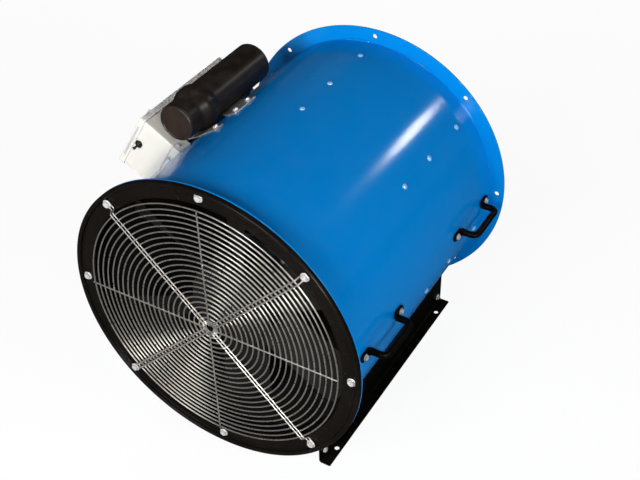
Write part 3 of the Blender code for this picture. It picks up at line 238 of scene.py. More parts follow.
def softened(bm, width, segments=2, sharper_than=radians(40)):
    """Round the sharp edges of a mesh."""
    edges = [edge for edge in bm.edges
             if len(edge.link_faces) == 2 and edge.calc_face_angle(0.0) > sharper_than]
    bmesh.ops.bevel(bm, geom=edges, offset=width, segments=segments, profile=0.5, affect="EDGES",
                    clamp_overlap=True)
    return bm


def block(low, high, edge=0.0):
    """Box between two corners, with its edges rounded."""
    bm = bmesh.new()
    bmesh.ops.create_cube(bm, size=1.0)
    for vert in bm.verts:
        vert.co = [low[i] + (high[i] - low[i]) * (vert.co[i] + 0.5) for i in range(3)]
    return softened(bm, edge) if edge else bm


def plate(outlines, thickness, edge, along=0.0):
    """Flat plate across the fan with rounded edges; the first outline is its rim, others are holes."""
    curve = bpy.data.curves.new("plate", "CURVE")
    curve.dimensions = "2D"
    curve.fill_mode = "BOTH"
    curve.extrude = thickness / 2 - edge
    curve.bevel_depth = edge
    curve.bevel_resolution = 2
    curve.offset = -edge
    for outline in outlines:
        spline = curve.splines.new("POLY")
        spline.points.add(len(outline) - 1)
        for point, (x, z) in zip(spline.points, outline):
            point.co = (x, z, 0.0, 1.0)
        spline.use_cyclic_u = True
    bm = as_bmesh(result_of(linked("plate", curve)))
    bpy.data.curves.remove(curve)
    bmesh.ops.remove_doubles(bm, verts=bm.verts, dist=1e-6)
    return faced_out(moved(bm, slid(y=along) @ UPRIGHT))


def formed(path, front, rear, sheet, edge, corner, steps=4, holes=()):
    """Sheet bent to follow a path across the fan; its flat outline has rounded corners and holes."""
    points = [Vector(point) for point in path]
    stations = [0.0]
    for before, point in zip(points, points[1:]):
        stations.append(stations[-1] + (point - before).length)
    outline = rounded(rectangle(0, stations[-1], front, rear), corner, steps)
    bm = plate([outline, *holes], sheet, edge)
    for station in stations[1:-1]:
        bmesh.ops.bisect_plane(bm, geom=bm.verts[:] + bm.edges[:] + bm.faces[:],
                               plane_co=(station, 0, 0), plane_no=(1, 0, 0), dist=1e-7)
    normals = []
    for i in range(len(points)):
        forward = points[min(i + 1, len(points) - 1)] - points[max(i - 1, 0)]
        normals.append(Vector((-forward.y, forward.x)).normalized())
    for vert in bm.verts:
        k = 0
        while k < len(stations) - 2 and vert.co.x > stations[k + 1]:
            k += 1
        share = (vert.co.x - stations[k]) / (stations[k + 1] - stations[k])
        out = normals[k].lerp(normals[k + 1], min(max(share, 0.0), 1.0)).normalized()
        spot = points[k].lerp(points[k + 1], share) + out * vert.co.y
        vert.co = Vector((spot.x, vert.co.z, spot.y))
    return faced_out(bm)


def cut(bm, cutter):
    """Take a closed shape out of a mesh."""
    body, tool = [linked("cut", as_mesh(shape)) for shape in (bm, cutter)]
    modifier = body.modifiers.new("cut", "BOOLEAN")
    modifier.operation = "DIFFERENCE"
    modifier.solver = "EXACT"
    modifier.object = tool
    result = as_bmesh(result_of(body))
    for thing in (body, tool):
        bpy.data.meshes.remove(thing.data)
    return result


def even_shading(thing):
    """Let the large faces set the smooth shading, so that edge radii do not bend reflections."""
    weigh = thing.modifiers.new("weigh", "WEIGHTED_NORMAL")
    weigh.keep_sharp = True
    shaded = result_of(thing)
    thing.modifiers.clear()
    shaded.name = thing.name
    thing.data = shaded


def piece(name, bm, material, place=FAN, body="fan_body", stands_for=(), slot=None, sharp=35,
          materials=()):
    """Make one visible piece from a bmesh and put it in the frame."""
    bmesh.ops.transform(bm, matrix=place, verts=bm.verts)
    mesh = as_mesh(bm, name)
    for finish in (material, *materials):
        mesh.materials.append(finish)
    mesh.shade_smooth()
    mesh.set_sharp_from_angle(angle=radians(sharp))
    thing = linked(name, mesh)
    even_shading(thing)
    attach(thing, body)
    if stands_for:
        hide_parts(*stands_for)


# ---- fasteners, each standing on its seat with its axis along +Z ------------------------------

def round_head(profile, sides):
    """Turned fastener from (radius, height) points."""
    return moved(solid_turned(profile, sides), UPRIGHT)


def hex_head(across, low, high):
    """Hexagon head or nut with its corners turned down; across is the distance over its flats."""
    flat = across / 2
    rows = ([], [], [], [])
    for i in range(24):
        angle = 2 * pi * i / 24
        reach = flat / cos((angle + pi / 6) % (pi / 3) - pi / 6)
        shoulder = high - (reach - flat) * 0.6 - flat * 0.04
        levels = ((reach * 0.97, low), (reach, low + (high - low) * 0.08), (reach, shoulder),
                  (flat * 0.93, high))
        for row, (out, up) in zip(rows, levels):
            row.append((out * cos(angle), out * sin(angle), up))
    return lofted(rows)


def washer(radius, thickness):
    lip = thickness * 0.3
    return round_head([(radius - lip, 0), (radius, lip), (radius, thickness - lip),
                       (radius - lip, thickness)], 32)


def hex_bolt(across, height, washer_radius, washer_thickness):
    return joined(washer(washer_radius, washer_thickness),
                  hex_head(across, washer_thickness, washer_thickness + height))


def nut_on_stud(across, height, stud_radius, stud_reach):
    stud = round_head([(stud_radius, 0), (stud_radius, stud_reach - stud_radius * 0.3),
                       (stud_radius * 0.7, stud_reach)], 16)
    return joined(hex_head(across, 0, height), stud, washer(across * 0.62, height * 0.25))


def rivet(radius, height):
    dome = arc(1.0, 0, pi / 2 * 0.85, 4)
    return round_head([(radius * x, height * (0.15 + 0.85 * z)) for x, z in [(1, -0.17)] + dome], 16)


def slotted_screw(radius, height):
    """Round washer head with a hexagon and a slot."""
    head = joined(washer(radius, height * 0.35), hex_head(radius * 1.45, height * 0.3, height))
    return cut(head, block((-radius, -radius * 0.11, height * 0.62), (radius, radius * 0.11, height * 2)))


# ---- node trees ------------------------------------------------------------------------------

def node_group(name, kind, inputs, outputs):
    """Empty group; a socket is given by its kind or, for a number, by its usual value."""
    group = bpy.data.node_groups.new(name, kind)
    for flow, sockets in (("INPUT", inputs), ("OUTPUT", outputs)):
        for label, value in sockets.items():
            number = not isinstance(value, str)
            socket = group.interface.new_socket(label, in_out=flow,
                                                socket_type="NodeSocket" + ("Float" if number else value))
            if number:
                socket.default_value = value
    return group, group.nodes.new("NodeGroupInput").outputs, group.nodes.new("NodeGroupOutput").inputs


def add(tree, kind, **values):
    """Add a node; capitalised or numbered values go to its inputs, the others are its settings."""
    node = tree.nodes.new(kind)
    inputs = {key: values.pop(key) for key in list(values) if not key[0].islower()}
    for key, value in values.items():
        setattr(node, key, value)
    for key, value in inputs.items():
        socket = node.inputs[int(key[1:]) if key[0] == "_" else key.replace("_", " ")]
        if isinstance(value, bpy.types.NodeSocket):
            tree.links.new(value, socket)
        else:
            socket.default_value = value
    return node.outputs


def calculate(tree, operation, a, b=0.5):
    return add(tree, "ShaderNodeMath", operation=operation, _0=a, _1=b)[0]


def geometry_tree(name, inputs):
    """Geometry Nodes tree that takes and gives a mesh; every one ends in real mesh with its finish."""
    tree, given, out = node_group(name, "GeometryNodeTree", {"Geometry": "Geometry", **inputs},
                                  {"Geometry": "Geometry"})

    def end(geometry):
        real = add(tree, "GeometryNodeRealizeInstances", Geometry=geometry)[0]
        done = add(tree, "GeometryNodeSetMaterial", Geometry=real, Material=given["Finish"])[0]
        tree.links.new(done, out[0])
        return tree

    return tree, given, end


def on_points(tree, points, instance, **turn):
    return add(tree, "GeometryNodeInstanceOnPoints", Points=points, Instance=instance, **turn)[0]


def turned_by(tree, angle):
    """Rotation round the fan's axis."""
    return add(tree, "FunctionNodeAxisAngleToRotation", Axis=(0, -1, 0), Angle=angle)[0]


def build_fastener_tree():
    """One fastener on every point, standing along the point's facing and turned at random."""
    tree, given, end = geometry_tree("fasteners_on_seats", {
        "Fastener": "Object", "Largest turn": "Float", "Seed": "Int", "Finish": "Material"})
    shape = add(tree, "GeometryNodeObjectInfo", Object=given["Fastener"])["Geometry"]
    facing = add(tree, "GeometryNodeInputNamedAttribute", data_type="FLOAT_VECTOR", Name="facing")
    aligned = add(tree, "FunctionNodeAlignRotationToVector", axis="Z", Vector=facing["Attribute"])[0]
    angle = add(tree, "FunctionNodeRandomValue", data_type="FLOAT", Seed=given["Seed"], _2=0.0,
                _3=given["Largest turn"])[1]
    turn = add(tree, "FunctionNodeAxisAngleToRotation", Axis=(0, 0, 1), Angle=angle)[0]
    both = add(tree, "FunctionNodeRotateRotation", rotation_space="LOCAL", Rotation=aligned,
               Rotate_By=turn)[0]
    return end(on_points(tree, given["Geometry"], shape, Rotation=both))


def build_round_tree():
    """The given shape repeated round the fan's axis."""
    tree, given, end = geometry_tree("repeated_round_axis", {
        "Count": "Int", "First angle": "Float", "Angle step": "Float", "Finish": "Material"})
    spots = add(tree, "GeometryNodePoints", Count=given["Count"])[0]
    index = add(tree, "GeometryNodeInputIndex")[0]
    angle = calculate(tree, "ADD", calculate(tree, "MULTIPLY", index, given["Angle step"]),
                      given["First angle"])
    return end(on_points(tree, spots, given["Geometry"], Rotation=turned_by(tree, angle)))


def build_guard_tree():
    """Rings of wire, wires along the given lines at every quarter, and a weld bead on each crossing."""
    tree, given, end = geometry_tree("wire_guard", {
        "Rings": "Int", "First ring": "Float", "Ring pitch": "Float", "Ring depth": "Float",
        "Wire": "Float", "Spokes": "Int", "Spoke depth": "Float", "Finish": "Material"})
    half_wire = calculate(tree, "MULTIPLY", given["Wire"], 0.5)
    section = add(tree, "GeometryNodeCurvePrimitiveCircle", Resolution=8, Radius=half_wire)[0]
    index = add(tree, "GeometryNodeInputIndex")[0]

    def ring_radius(number):
        return calculate(tree, "ADD", calculate(tree, "MULTIPLY", number, given["Ring pitch"]),
                         given["First ring"])

    seeds = add(tree, "GeometryNodePoints", Count=given["Rings"])[0]
    radius = ring_radius(index)
    size = add(tree, "ShaderNodeCombineXYZ", X=radius, Y=radius, Z=1.0)[0]
    hoop = add(tree, "GeometryNodeCurvePrimitiveCircle", Resolution=168, Radius=1.0)[0]
    hoops = add(tree, "GeometryNodeRealizeInstances", Geometry=on_points(tree, seeds, hoop, Scale=size))[0]
    ring_wires = add(tree, "GeometryNodeCurveToMesh", Curve=hoops, Profile_Curve=section)[0]
    ring_depth = add(tree, "ShaderNodeCombineXYZ", Y=given["Ring depth"])[0]
    rings = add(tree, "GeometryNodeTransform", Geometry=ring_wires, Translation=ring_depth,
                Rotation=(pi / 2, 0, 0))[0]

    lines = add(tree, "GeometryNodeMeshToCurve", Mesh=given["Geometry"])[0]
    wires = add(tree, "GeometryNodeCurveToMesh", Curve=lines, Profile_Curve=section, Fill_Caps=True)[0]
    quarters = add(tree, "GeometryNodePoints", Count=4)[0]
    turn = turned_by(tree, calculate(tree, "MULTIPLY", index, pi / 2))
    spokes = on_points(tree, quarters, wires, Rotation=turn)

    crossings = add(tree, "GeometryNodePoints",
                    Count=calculate(tree, "MULTIPLY", given["Rings"], given["Spokes"]))[0]
    reach = ring_radius(calculate(tree, "FLOOR", calculate(tree, "DIVIDE", index, given["Spokes"])))
    angle = calculate(tree, "MULTIPLY", calculate(tree, "MODULO", index, given["Spokes"]),
                      calculate(tree, "DIVIDE", 2 * pi, given["Spokes"]))
    spot = add(tree, "ShaderNodeCombineXYZ", Y=given["Spoke depth"],
               X=calculate(tree, "MULTIPLY", reach, calculate(tree, "COSINE", angle)),
               Z=calculate(tree, "MULTIPLY", reach, calculate(tree, "SINE", angle)))[0]
    spread = add(tree, "GeometryNodeSetPosition", Geometry=crossings, Position=spot)[0]
    bead = add(tree, "GeometryNodeMeshUVSphere", Segments=8, Rings=5,
               Radius=calculate(tree, "MULTIPLY", half_wire, 1.18))[0]
    together = tree.nodes.new("GeometryNodeJoinGeometry")
    for source in (rings, spokes, on_points(tree, spread, bead)):
        tree.links.new(source, together.inputs[0])
    return end(together.outputs[0])


def grown(tree, bm, facing=(), **values):
    """Run a tree on a mesh; each value goes to the input of its name."""
    source = as_mesh(bm)
    if facing:
        layer = source.attributes.new("facing", "FLOAT_VECTOR", "POINT")
        for item, vector in zip(layer.data, facing):
            item.vector = vector
    carrier = linked("carrier", source)
    modifier = carrier.modifiers.new("grow", "NODES")
    modifier.node_group = tree
    for item in tree.interface.items_tree:
        label = item.name.replace(" ", "_").lower()
        if item.in_out == "INPUT" and label in values:
            modifier[item.identifier] = values[label]
    carrier.update_tag()
    mesh = result_of(carrier)
    bpy.data.meshes.remove(source)
    return as_bmesh(mesh)


fastener_tree = build_fastener_tree()
round_tree = build_round_tree()
guard_tree = build_guard_tree()


def fasteners(name, shape, seats, material, seed, **where):
    """Put one fastener on each (place, facing) seat; a repeated fastener is one piece."""
    model = linked("fastener", as_mesh(shape))
    points = bmesh.new()
    for place, _ in seats:
        points.verts.new(place)
    group = grown(fastener_tree, points, [tuple(facing) for _, facing in seats], fastener=model,
                  largest_turn=pi / 3, seed=seed, finish=material)
    bpy.data.meshes.remove(model.data)
    piece(name, group, material, **where)


def repeated(bm, count, material, first=0.0, step=None):
    """Repeat a shape round the axis."""
    return grown(round_tree, bm, count=count, first_angle=first, angle_step=step or 2 * pi / count,
                 finish=material)


# ---- shared effects of the finishes ----------------------------------------------------------

def shader_group(name, inputs, *outputs):
    return node_group(name, "ShaderNodeTree", inputs, dict.fromkeys(outputs, "Float"))


def in_metres(tree):
    """Places on the object, in its own metres."""
    return add(tree, "ShaderNodeTexCoord")["Object"]


def noise(tree, scale, detail, roughness=0.5, at=None):
    return add(tree, "ShaderNodeTexNoise", Vector=at or in_metres(tree), Scale=scale, Detail=detail,
               Roughness=roughness)["Fac"]


def ranged(tree, value, from_low, from_high, low=0.0, high=1.0):
    return add(tree, "ShaderNodeMapRange", Value=value, From_Min=from_low, From_Max=from_high,
               To_Min=low, To_Max=high)["Result"]


def crystals(tree, scale):
    """A tone for each cell."""
    cells = add(tree, "ShaderNodeTexVoronoi", Vector=in_metres(tree), Scale=scale)["Color"]
    return add(tree, "ShaderNodeSeparateXYZ", Vector=cells)["X"]


def product(tree, first, *others):
    for value in others:
        first = calculate(tree, "MULTIPLY", first, value)
    return first


def build_orange_peel():
    """Soft unevenness of sprayed and baked paint, and its slow change of shade."""
    group, given, out = shader_group("orange_peel", {"Grain": 300.0, "Patches": 4.0}, "Height", "Shade")
    group.links.new(noise(group, given["Grain"], 1.5), out["Height"])
    group.links.new(noise(group, given["Patches"], 3.0), out["Shade"])
    return group


def build_worn_edges():
    """Where handling has thinned the finish on edges."""
    group, given, out = shader_group("worn_edges", {"Width": 0.001, "Amount": 0.5, "Grain": 120.0}, "Mask")
    rounded_off = add(group, "ShaderNodeBevel", samples=4, Radius=given["Width"])[0]
    here = add(group, "ShaderNodeNewGeometry")["Normal"]
    match = add(group, "ShaderNodeVectorMath", operation="DOT_PRODUCT", _0=rounded_off, _1=here)["Value"]
    edge = ranged(group, match, 0.98, 0.80)
    patchy = ranged(group, noise(group, given["Grain"], 4.0, 0.6), 0.45, 0.62)
    group.links.new(product(group, edge, patchy, given["Amount"]), out["Mask"])
    return group


def build_settled_dust():
    """Dust that lies on what faces up, in patches."""
    group, given, out = shader_group("settled_dust", {"Amount": 0.2, "Patches": 14.0}, "Mask")
    facing = add(group, "ShaderNodeTexCoord")["Normal"]
    lying = ranged(group, add(group, "ShaderNodeSeparateXYZ", Vector=facing)["Z"], -0.1, 0.9, 0.15)
    patchy = ranged(group, noise(group, given["Patches"], 5.0, 0.62), 0.40, 0.70)
    group.links.new(product(group, lying, patchy, given["Amount"]), out["Mask"])
    return group


def build_zinc_mottle():
    """Crystals and dull patches of a zinc coat."""
    group, given, out = shader_group("zinc_mottle", {"Crystals": 160.0, "Clouds": 40.0}, "Shade", "Dullness")
    clouds = noise(group, given["Clouds"], 4.0, 0.6)
    blend = calculate(group, "ADD", product(group, crystals(group, given["Crystals"]), 0.4),
                      product(group, clouds, 0.6))
    group.links.new(blend, out["Shade"])
    group.links.new(ranged(group, clouds, 0.35, 0.7), out["Dullness"])
    return group


def build_scuffs():
    """Short rub marks that run in two directions."""
    group, given, out = shader_group("scuffs", {"Size": 60.0, "Amount": 0.3}, "Mask")
    marks = []
    for stretch, turn in (((1.0, 0.08, 1.0), 0.5), ((0.1, 1.0, 1.0), 0.2)):
        laid = add(group, "ShaderNodeMapping", Vector=in_metres(group), Scale=stretch,
                   Rotation=(0.3, turn, turn))[0]
        marks.append(ranged(group, noise(group, given["Size"], 6.0, 0.65, laid), 0.62, 0.72))
    group.links.new(product(group, calculate(group, "MAXIMUM", *marks), given["Amount"]), out["Mask"])
    return group


def build_speckle():
    """Small flecks."""
    group, given, out = shader_group("speckle", {"Flecks": 900.0, "Share": 0.35}, "Mask")
    chosen = calculate(group, "LESS_THAN", crystals(group, given["Flecks"]), given["Share"])
    group.links.new(chosen, out["Mask"])
    return group


ORANGE_PEEL = build_orange_peel()
WORN_EDGES = build_worn_edges()
SETTLED_DUST = build_settled_dust()
ZINC_MOTTLE = build_zinc_mottle()
SCUFFS = build_scuffs()
SPECKLE = build_speckle()


# ---- finishes --------------------------------------------------------------------------------


class Finish:
    """A material under construction: its shader, and the colour that reaches it so far."""

    def __init__(self, name, slot, colour, roughness, metallic=0.0, specular=0.5):
        self.material = bpy.data.materials.new(name)
        self.material.use_nodes = True
        self.tree = self.material.node_tree
        self.shader = self.tree.nodes["Principled BSDF"]
        self.shader.inputs["Metallic"].default_value = metallic
        self.shader.inputs["Roughness"].default_value = roughness
        self.shader.inputs["Specular IOR Level"].default_value = specular
        self.colour = (*colour, 1.0)
        self.roughness = roughness
        self.height = None

    def effect(self, group, *values):
        """Place a shared effect with this finish's own values."""
        node = self.tree.nodes.new("ShaderNodeGroup")
        node.node_tree = group
        for socket, value in zip(node.inputs, values):
            socket.default_value = value
        return node.outputs

    def tint(self, mask, colour, rougher=None):
        """Lay a colour over the finish where the mask says, and change the roughness there."""
        self.colour = add(self.tree, "ShaderNodeMix", data_type="RGBA", Factor=mask, _6=self.colour,
                          _7=(*colour, 1.0))[2]
        return self.dull(mask, rougher) if rougher else self

    def dull(self, mask, rougher):
        self.roughness = add(self.tree, "ShaderNodeMix", data_type="FLOAT", Factor=mask,
                             _2=self.roughness, _3=rougher)[0]
        return self

    def relief(self, height, depth):
        """Raise the surface by a height, in metres of depth; reliefs add up."""
        under = {"Normal": self.height} if self.height else {}
        self.height = add(self.tree, "ShaderNodeBump", Height=height, Distance=depth, Strength=1.0,
                          **under)[0]
        return self

    def skin(self, grain, patches, other, most=0.6, low=0.35, high=0.7):
        """Orange peel, whose relief comes last, and a slow change to another shade."""
        self.peel = self.effect(ORANGE_PEEL, grain, patches)
        return self.tint(ranged(self.tree, self.peel["Shade"], low, high, 0.0, most), other)

    def dust(self, amount, patches, colour, rougher):
        return self.tint(self.effect(SETTLED_DUST, amount, patches)["Mask"], colour, rougher)

    def scuffs(self, size, amount, colour, rougher):
        return self.tint(self.effect(SCUFFS, size, amount)["Mask"], colour, rougher)

    def edges(self, width, amount, grain, colour, rougher=None):
        return self.tint(self.effect(WORN_EDGES, width, amount, grain)["Mask"], colour, rougher)

    def done(self, peel_depth=None):
        if peel_depth:
            self.relief(self.peel["Height"], peel_depth)
        reaching = {"Base Color": self.colour, "Roughness": self.roughness, "Normal": self.height}
        for label, value in reaching.items():
            if isinstance(value, bpy.types.NodeSocket):
                self.tree.links.new(value, self.shader.inputs[label])
        return self.material


def make_blue_powder_coat(name, gloss, colour=(0.0, 0.205, 0.605)):
    finish = Finish(name, "blue_shell", colour, 0.13, specular=gloss)
    finish.skin(420.0, 3.0, (0.0, 0.186, 0.560), 0.5, 0.3, 0.75)
    finish.scuffs(45.0, 0.05, (0.06, 0.28, 0.62), 0.6)
    finish.dust(0.012, 22.0, (0.40, 0.44, 0.45), 0.9)
    finish.edges(0.0012, 0.20, 260.0, (0.08, 0.36, 0.72))
    finish.relief(noise(finish.tree, 9.0, 1.0), 0.00010)
    return finish.done(0.00002)


def make_zinc(name, slot, bright, dark, roughness, crystal_scale, clouds, dust, metallic):
    """Bright zinc: plated wire and fasteners, or spangled sheet."""
    finish = Finish(name, slot, bright, roughness, metallic)
    zinc = finish.effect(ZINC_MOTTLE, crystal_scale, clouds)
    finish.tint(ranged(finish.tree, zinc["Shade"], 0.35, 0.65), dark)
    finish.dull(zinc["Dullness"], roughness + 0.16)
    finish.dust(dust, 90.0, (0.30, 0.27, 0.22), 0.8)
    return finish.relief(noise(finish.tree, crystal_scale * 2.2, 2.0), 0.00003).done()


def make_plastic(name, slot, colour, lighter, roughness, grain=600.0, scuffed=0.12, specular=0.4):
    """Moulded plastic with a fine grain, a few rub marks and some dust."""
    finish = Finish(name, slot, colour, roughness, specular=specular)
    finish.skin(grain, 16.0, lighter, 0.8)
    finish.scuffs(80.0, scuffed, [0.07 + value for value in lighter], 0.6)
    finish.dust(0.07, 45.0, (0.22, 0.19, 0.16), 0.85)
    return finish.done(0.00005)


def make_cast(name, slot, colour, lighter, roughness, metallic, dusty=0.25, specular=0.5):
    """Sand-cast metal with a coarse skin."""
    finish = Finish(name, slot, colour, roughness, metallic, specular)
    finish.skin(700.0, 18.0, lighter, 1.0)
    finish.dust(dusty, 30.0, (0.14, 0.12, 0.10), 0.9)
    finish.edges(0.0012, dusty, 260.0, [value * 2.2 for value in lighter])
    return finish.done(0.00025)


def make_speckled_strip():
    finish = Finish("speckled_strip", "cream_box", (0.66, 0.64, 0.62), 0.5)
    flecks = finish.effect(SPECKLE, 700.0, 0.4)["Mask"]
    finish.tint(flecks, (0.80, 0.78, 0.76))
    finish.tint(finish.effect(SPECKLE, 430.0, 0.18)["Mask"], (0.30, 0.29, 0.28), 0.7)
    return finish.relief(flecks, 0.00005).done()


def make_machined_steel():
    """Turned steel with fine rings round the shaft."""
    colour = (0.52, 0.52, 0.53)
    finish = Finish("bearing_steel_ground", "bearing_steel", colour, 0.25, 1.0)
    tool_marks = add(finish.tree, "ShaderNodeMapping", Vector=in_metres(finish.tree),
                     Scale=(0.05, 1.0, 0.05))[0]
    clouds = finish.effect(ZINC_MOTTLE, 90.0, 60.0)
    finish.tint(ranged(finish.tree, clouds["Shade"], 0.3, 0.7), [value * 0.7 for value in colour])
    finish.dull(clouds["Dullness"], 0.40)
    return finish.relief(noise(finish.tree, 2500.0, 2.0, at=tool_marks), 0.00003).done()


def make_copper_winding():
    finish = Finish("copper_winding", "copper_winding", (0.330, 0.120, 0.045), 0.4, 0.6)
    strands = add(finish.tree, "ShaderNodeTexWave", Vector=in_metres(finish.tree), Scale=260.0,
                  Distortion=3.0, Detail=2.0)["Fac"]
    finish.tint(ranged(finish.tree, strands, 0.2, 0.8), (0.200, 0.060, 0.020))
    return finish.relief(strands, 0.0004).done()


blue_paint = make_blue_powder_coat("blue_powder_coat", 0.25)
# Near-black coat inside the fan: painted shade, the darkness of the shell's inside, the sleeve and the vanes
interior_painted_shade = (Finish("dark_interior_coat", "black_interior", (0.0105, 0.0098, 0.0082), 0.6, specular=0.03)
             .skin(350.0, 7.0, (0.0140, 0.0128, 0.0106))
             .dust(0.02, 18.0, (0.12, 0.11, 0.09), 0.9).done(0.00005))
ring_paint = (Finish("black_ring_paint", "black_ring", (0.0040, 0.0032, 0.0027), 0.24, specular=0.07)
              .skin(380.0, 8.0, (0.0062, 0.0050, 0.0042), 0.7)
              .dust(0.03, 26.0, (0.12, 0.10, 0.08), 0.8)
              .scuffs(70.0, 0.12, (0.05, 0.045, 0.04), 0.5)
              .edges(0.001, 0.35, 300.0, (0.09, 0.08, 0.07)).done(0.00004))
base_paint = (Finish("black_base_paint", "black_base", (0.0016, 0.0014, 0.0010), 0.28, specular=0.04)
              .skin(420.0, 10.0, (0.0026, 0.0023, 0.0017), 0.6, 0.4)
              .dust(0.03, 30.0, (0.12, 0.10, 0.08), 0.85)
              .edges(0.001, 0.5, 240.0, (0.16, 0.15, 0.14), 0.45).done(0.00004))
guard_zinc = make_zinc("guard_zinc_wire", "guard_zinc", (0.58, 0.56, 0.53), (0.46, 0.44, 0.415), 0.25,
                       420.0, 160.0, 0.06, 0.88)
plated = make_zinc("plated_fastener", "zinc_hardware", (0.72, 0.71, 0.70), (0.50, 0.49, 0.48), 0.28,
                   480.0, 220.0, 0.1, 0.45)
galvanised = make_zinc("galvanised_sheet", "galvanised", (0.66, 0.66, 0.67), (0.46, 0.46, 0.47), 0.30,
                       130.0, 40.0, 0.1, 0.7)
cream_paint = (Finish("cream_powder_coat", "cream_box", (0.680, 0.655, 0.605), 0.38, specular=0.4)
               .skin(900.0, 9.0, (0.650, 0.615, 0.545))
               .dust(0.12, 30.0, (0.38, 0.34, 0.27), 0.8)
               .edges(0.001, 0.35, 300.0, (0.42, 0.40, 0.36)).done(0.00006))
strip_finish = make_speckled_strip()
tube_plastic = make_plastic("tube_plastic", "black_plastic", (0.0080, 0.0055, 0.0038),
                            (0.0105, 0.0076, 0.0055), 0.33, 240.0, 0.04, 0.19)
plug_plastic = make_plastic("plug_plastic", "black_plastic", (0.020, 0.0120, 0.0092),
                            (0.026, 0.0160, 0.0124), 0.28, 300.0, 0.04, 0.50)
toggle_plastic = make_plastic("toggle_plastic", "black_plastic", (0.012, 0.011, 0.010),
                              (0.020, 0.019, 0.018), 0.35)
nut_black = make_plastic("black_nut", "switch_nut_black", (0.012, 0.012, 0.012),
                         (0.022, 0.022, 0.022), 0.32)
gear_plastic = make_plastic("gear_plastic", "black_plastic", (0.030, 0.030, 0.032),
                            (0.045, 0.045, 0.048), 0.45, 900.0)
terminal_brass = make_cast("terminal_brass_metal", "terminal_brass", (0.55, 0.40, 0.15),
                           (0.45, 0.32, 0.12), 0.35, 1.0)
motor_paint = (Finish("motor_paint", "motor_grey", (0.060, 0.066, 0.072), 0.42, specular=0.4)
               .skin(500.0, 14.0, (0.045, 0.048, 0.052), 1.0)
               .dust(0.30, 30.0, (0.20, 0.18, 0.15), 0.9)
               .edges(0.001, 0.4, 240.0, (0.22, 0.22, 0.22)).done(0.0002))
# Near-black impeller: painted shade, the cast impeller coloured dark for the shade behind the guard
impeller_painted_shade = make_cast("impeller_cast_paint", "dark_impeller", (0.0110, 0.0102, 0.0088),
                          (0.0145, 0.0135, 0.0118), 0.60, 0.0, 0.03, 0.08)
# Near-black zinc: painted shade on the plated fasteners of the impeller, behind the guard
plated_painted_shade = make_zinc("aged_plated_fastener", "zinc_hardware", (0.020, 0.019, 0.017),
                        (0.012, 0.011, 0.010), 0.5, 420.0, 200.0, 0.05, 0.3)
# Lighter blue than the shell's paint: painted highlight on the blue-painted rivet heads
rivet_highlight_paint = make_blue_powder_coat("blue_painted_fastener", 1.0, (0.26, 0.50, 0.78))
weld_paint = make_blue_powder_coat("blue_painted_weld", 0.5)
# Grey strip: painted shadow of the gap between the cover's front rim and the box wall
gap_shade_grey = make_plastic("grey_seal_rubber", "black_plastic", (0.46, 0.45, 0.44),
                         (0.38, 0.37, 0.36), 0.6, 500.0, 0.1, 0.2)
can_metal = make_cast("can_aluminium", "cast_alloy", (0.52, 0.52, 0.52), (0.42, 0.42, 0.42), 0.4, 1.0)
bearing_steel = make_machined_steel()
copper = make_copper_winding()


# ---- sizes that the parts do not give --------------------------------------------------------

RIM_BEAD = 0.005                # curled rim of the inlet ring
THROAT = BORE - 0.0025 - PLATE
WIRE = 0.003
FIRST_RING = 0.026
RING_PITCH = 0.0127
RINGS = int((THROAT - FIRST_RING) / RING_PITCH) + 1
LAST_RING = FIRST_RING + (RINGS - 1) * RING_PITCH
PAIR = 0.0098                   # between the middles of two wires that run side by side
GUARD_FRONT = span("inlet_guard")[0]
BOLT_ANGLES = [2 * pi * i / BOLTS for i in range(BOLTS)]
BOLT_HOLE = 0.0034
DUCT_HOLE = 0.0057              # in the outlet flange
STITCHES = 12                   # of weld on each flange

HUB = 0.095
HUB_FRONT, HUB_REAR = span("impeller_hub")
BLADES = 6
BLADE_TIP = THROAT - 0.0045

FRAME = 0.086
FRAME_FRONT, FRAME_REAR = span("motor_frame")
SLEEVE = radius_of("motor_sleeve")
SLEEVE_BORE = SLEEVE - 0.0025
VANES = 7
FIRST_VANE = radians(91.2)
VANE_SHEET = 0.0025
RIVETS_ALONG = (0.369, 0.483, 0.618)

RAIL_SHEET = 0.003
RAIL_FRONT, RAIL_REAR = span("base_rail_right")
RAIL_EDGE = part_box("base_rail_right")[1].x - AXIS_X
RAIL_WEB = RAIL_EDGE - 0.024
FOOT_HOLES = (RAIL_FRONT + 0.051, RAIL_REAR - 0.051)
WEB_BOLTS = (RAIL_FRONT + 0.020, RAIL_REAR - 0.020)
HANDS = (("right", 1), ("left", -1))
HANDLE_ROD = 0.0074
HANDLE_REACH = SHELL + 0.0403
TAB_HALF = 0.0026               # half thickness of a handle's flat end
TAB = 0.013                     # from a handle's bolt to the end of its tab
TAB_WIDE = 0.0108               # half width of a handle's flat end
TAB_FLAT = 0.0265               # along the handle from its end, before it turns round

BOX_BACK = SHELL + 0.009
BOX_EDGE = BOX_BACK + 0.089
BOX_HALF = 0.074
BOX_FRONT = 0.2193
BOX_LENGTH = 0.2894
BOX_MIDDLE = BOX_FRONT + BOX_LENGTH / 2
BOX_WALL = 0.002
COVER_WALL = 0.0015
COVER_PLAY = 0.0008
COVER_FACE = BOX_EDGE + GAP + COVER_WALL
COVER_RIM = BOX_EDGE - 0.012
COVER_HALF = BOX_HALF + COVER_PLAY + COVER_WALL
COVER_FRONT = BOX_FRONT - COVER_PLAY - COVER_WALL
COVER_REAR = BOX_FRONT + BOX_LENGTH + COVER_PLAY + COVER_WALL
HINGE_DROP = COVER_HALF + 0.0045
KNUCKLE = 0.030
KNUCKLE_PITCH = KNUCKLE + 0.001
FIRST_KNUCKLE = BOX_MIDDLE - 2.5 * KNUCKLE_PITCH
SCREW_UP = BOX_HALF - 0.012
SCREWS_ALONG = (BOX_MIDDLE - 0.105, BOX_MIDDLE + 0.105)
TOGGLE = Vector((-(COVER_RIM - 0.010), BOX_FRONT, 0.009))
CONDUIT_ALONG = 0.300

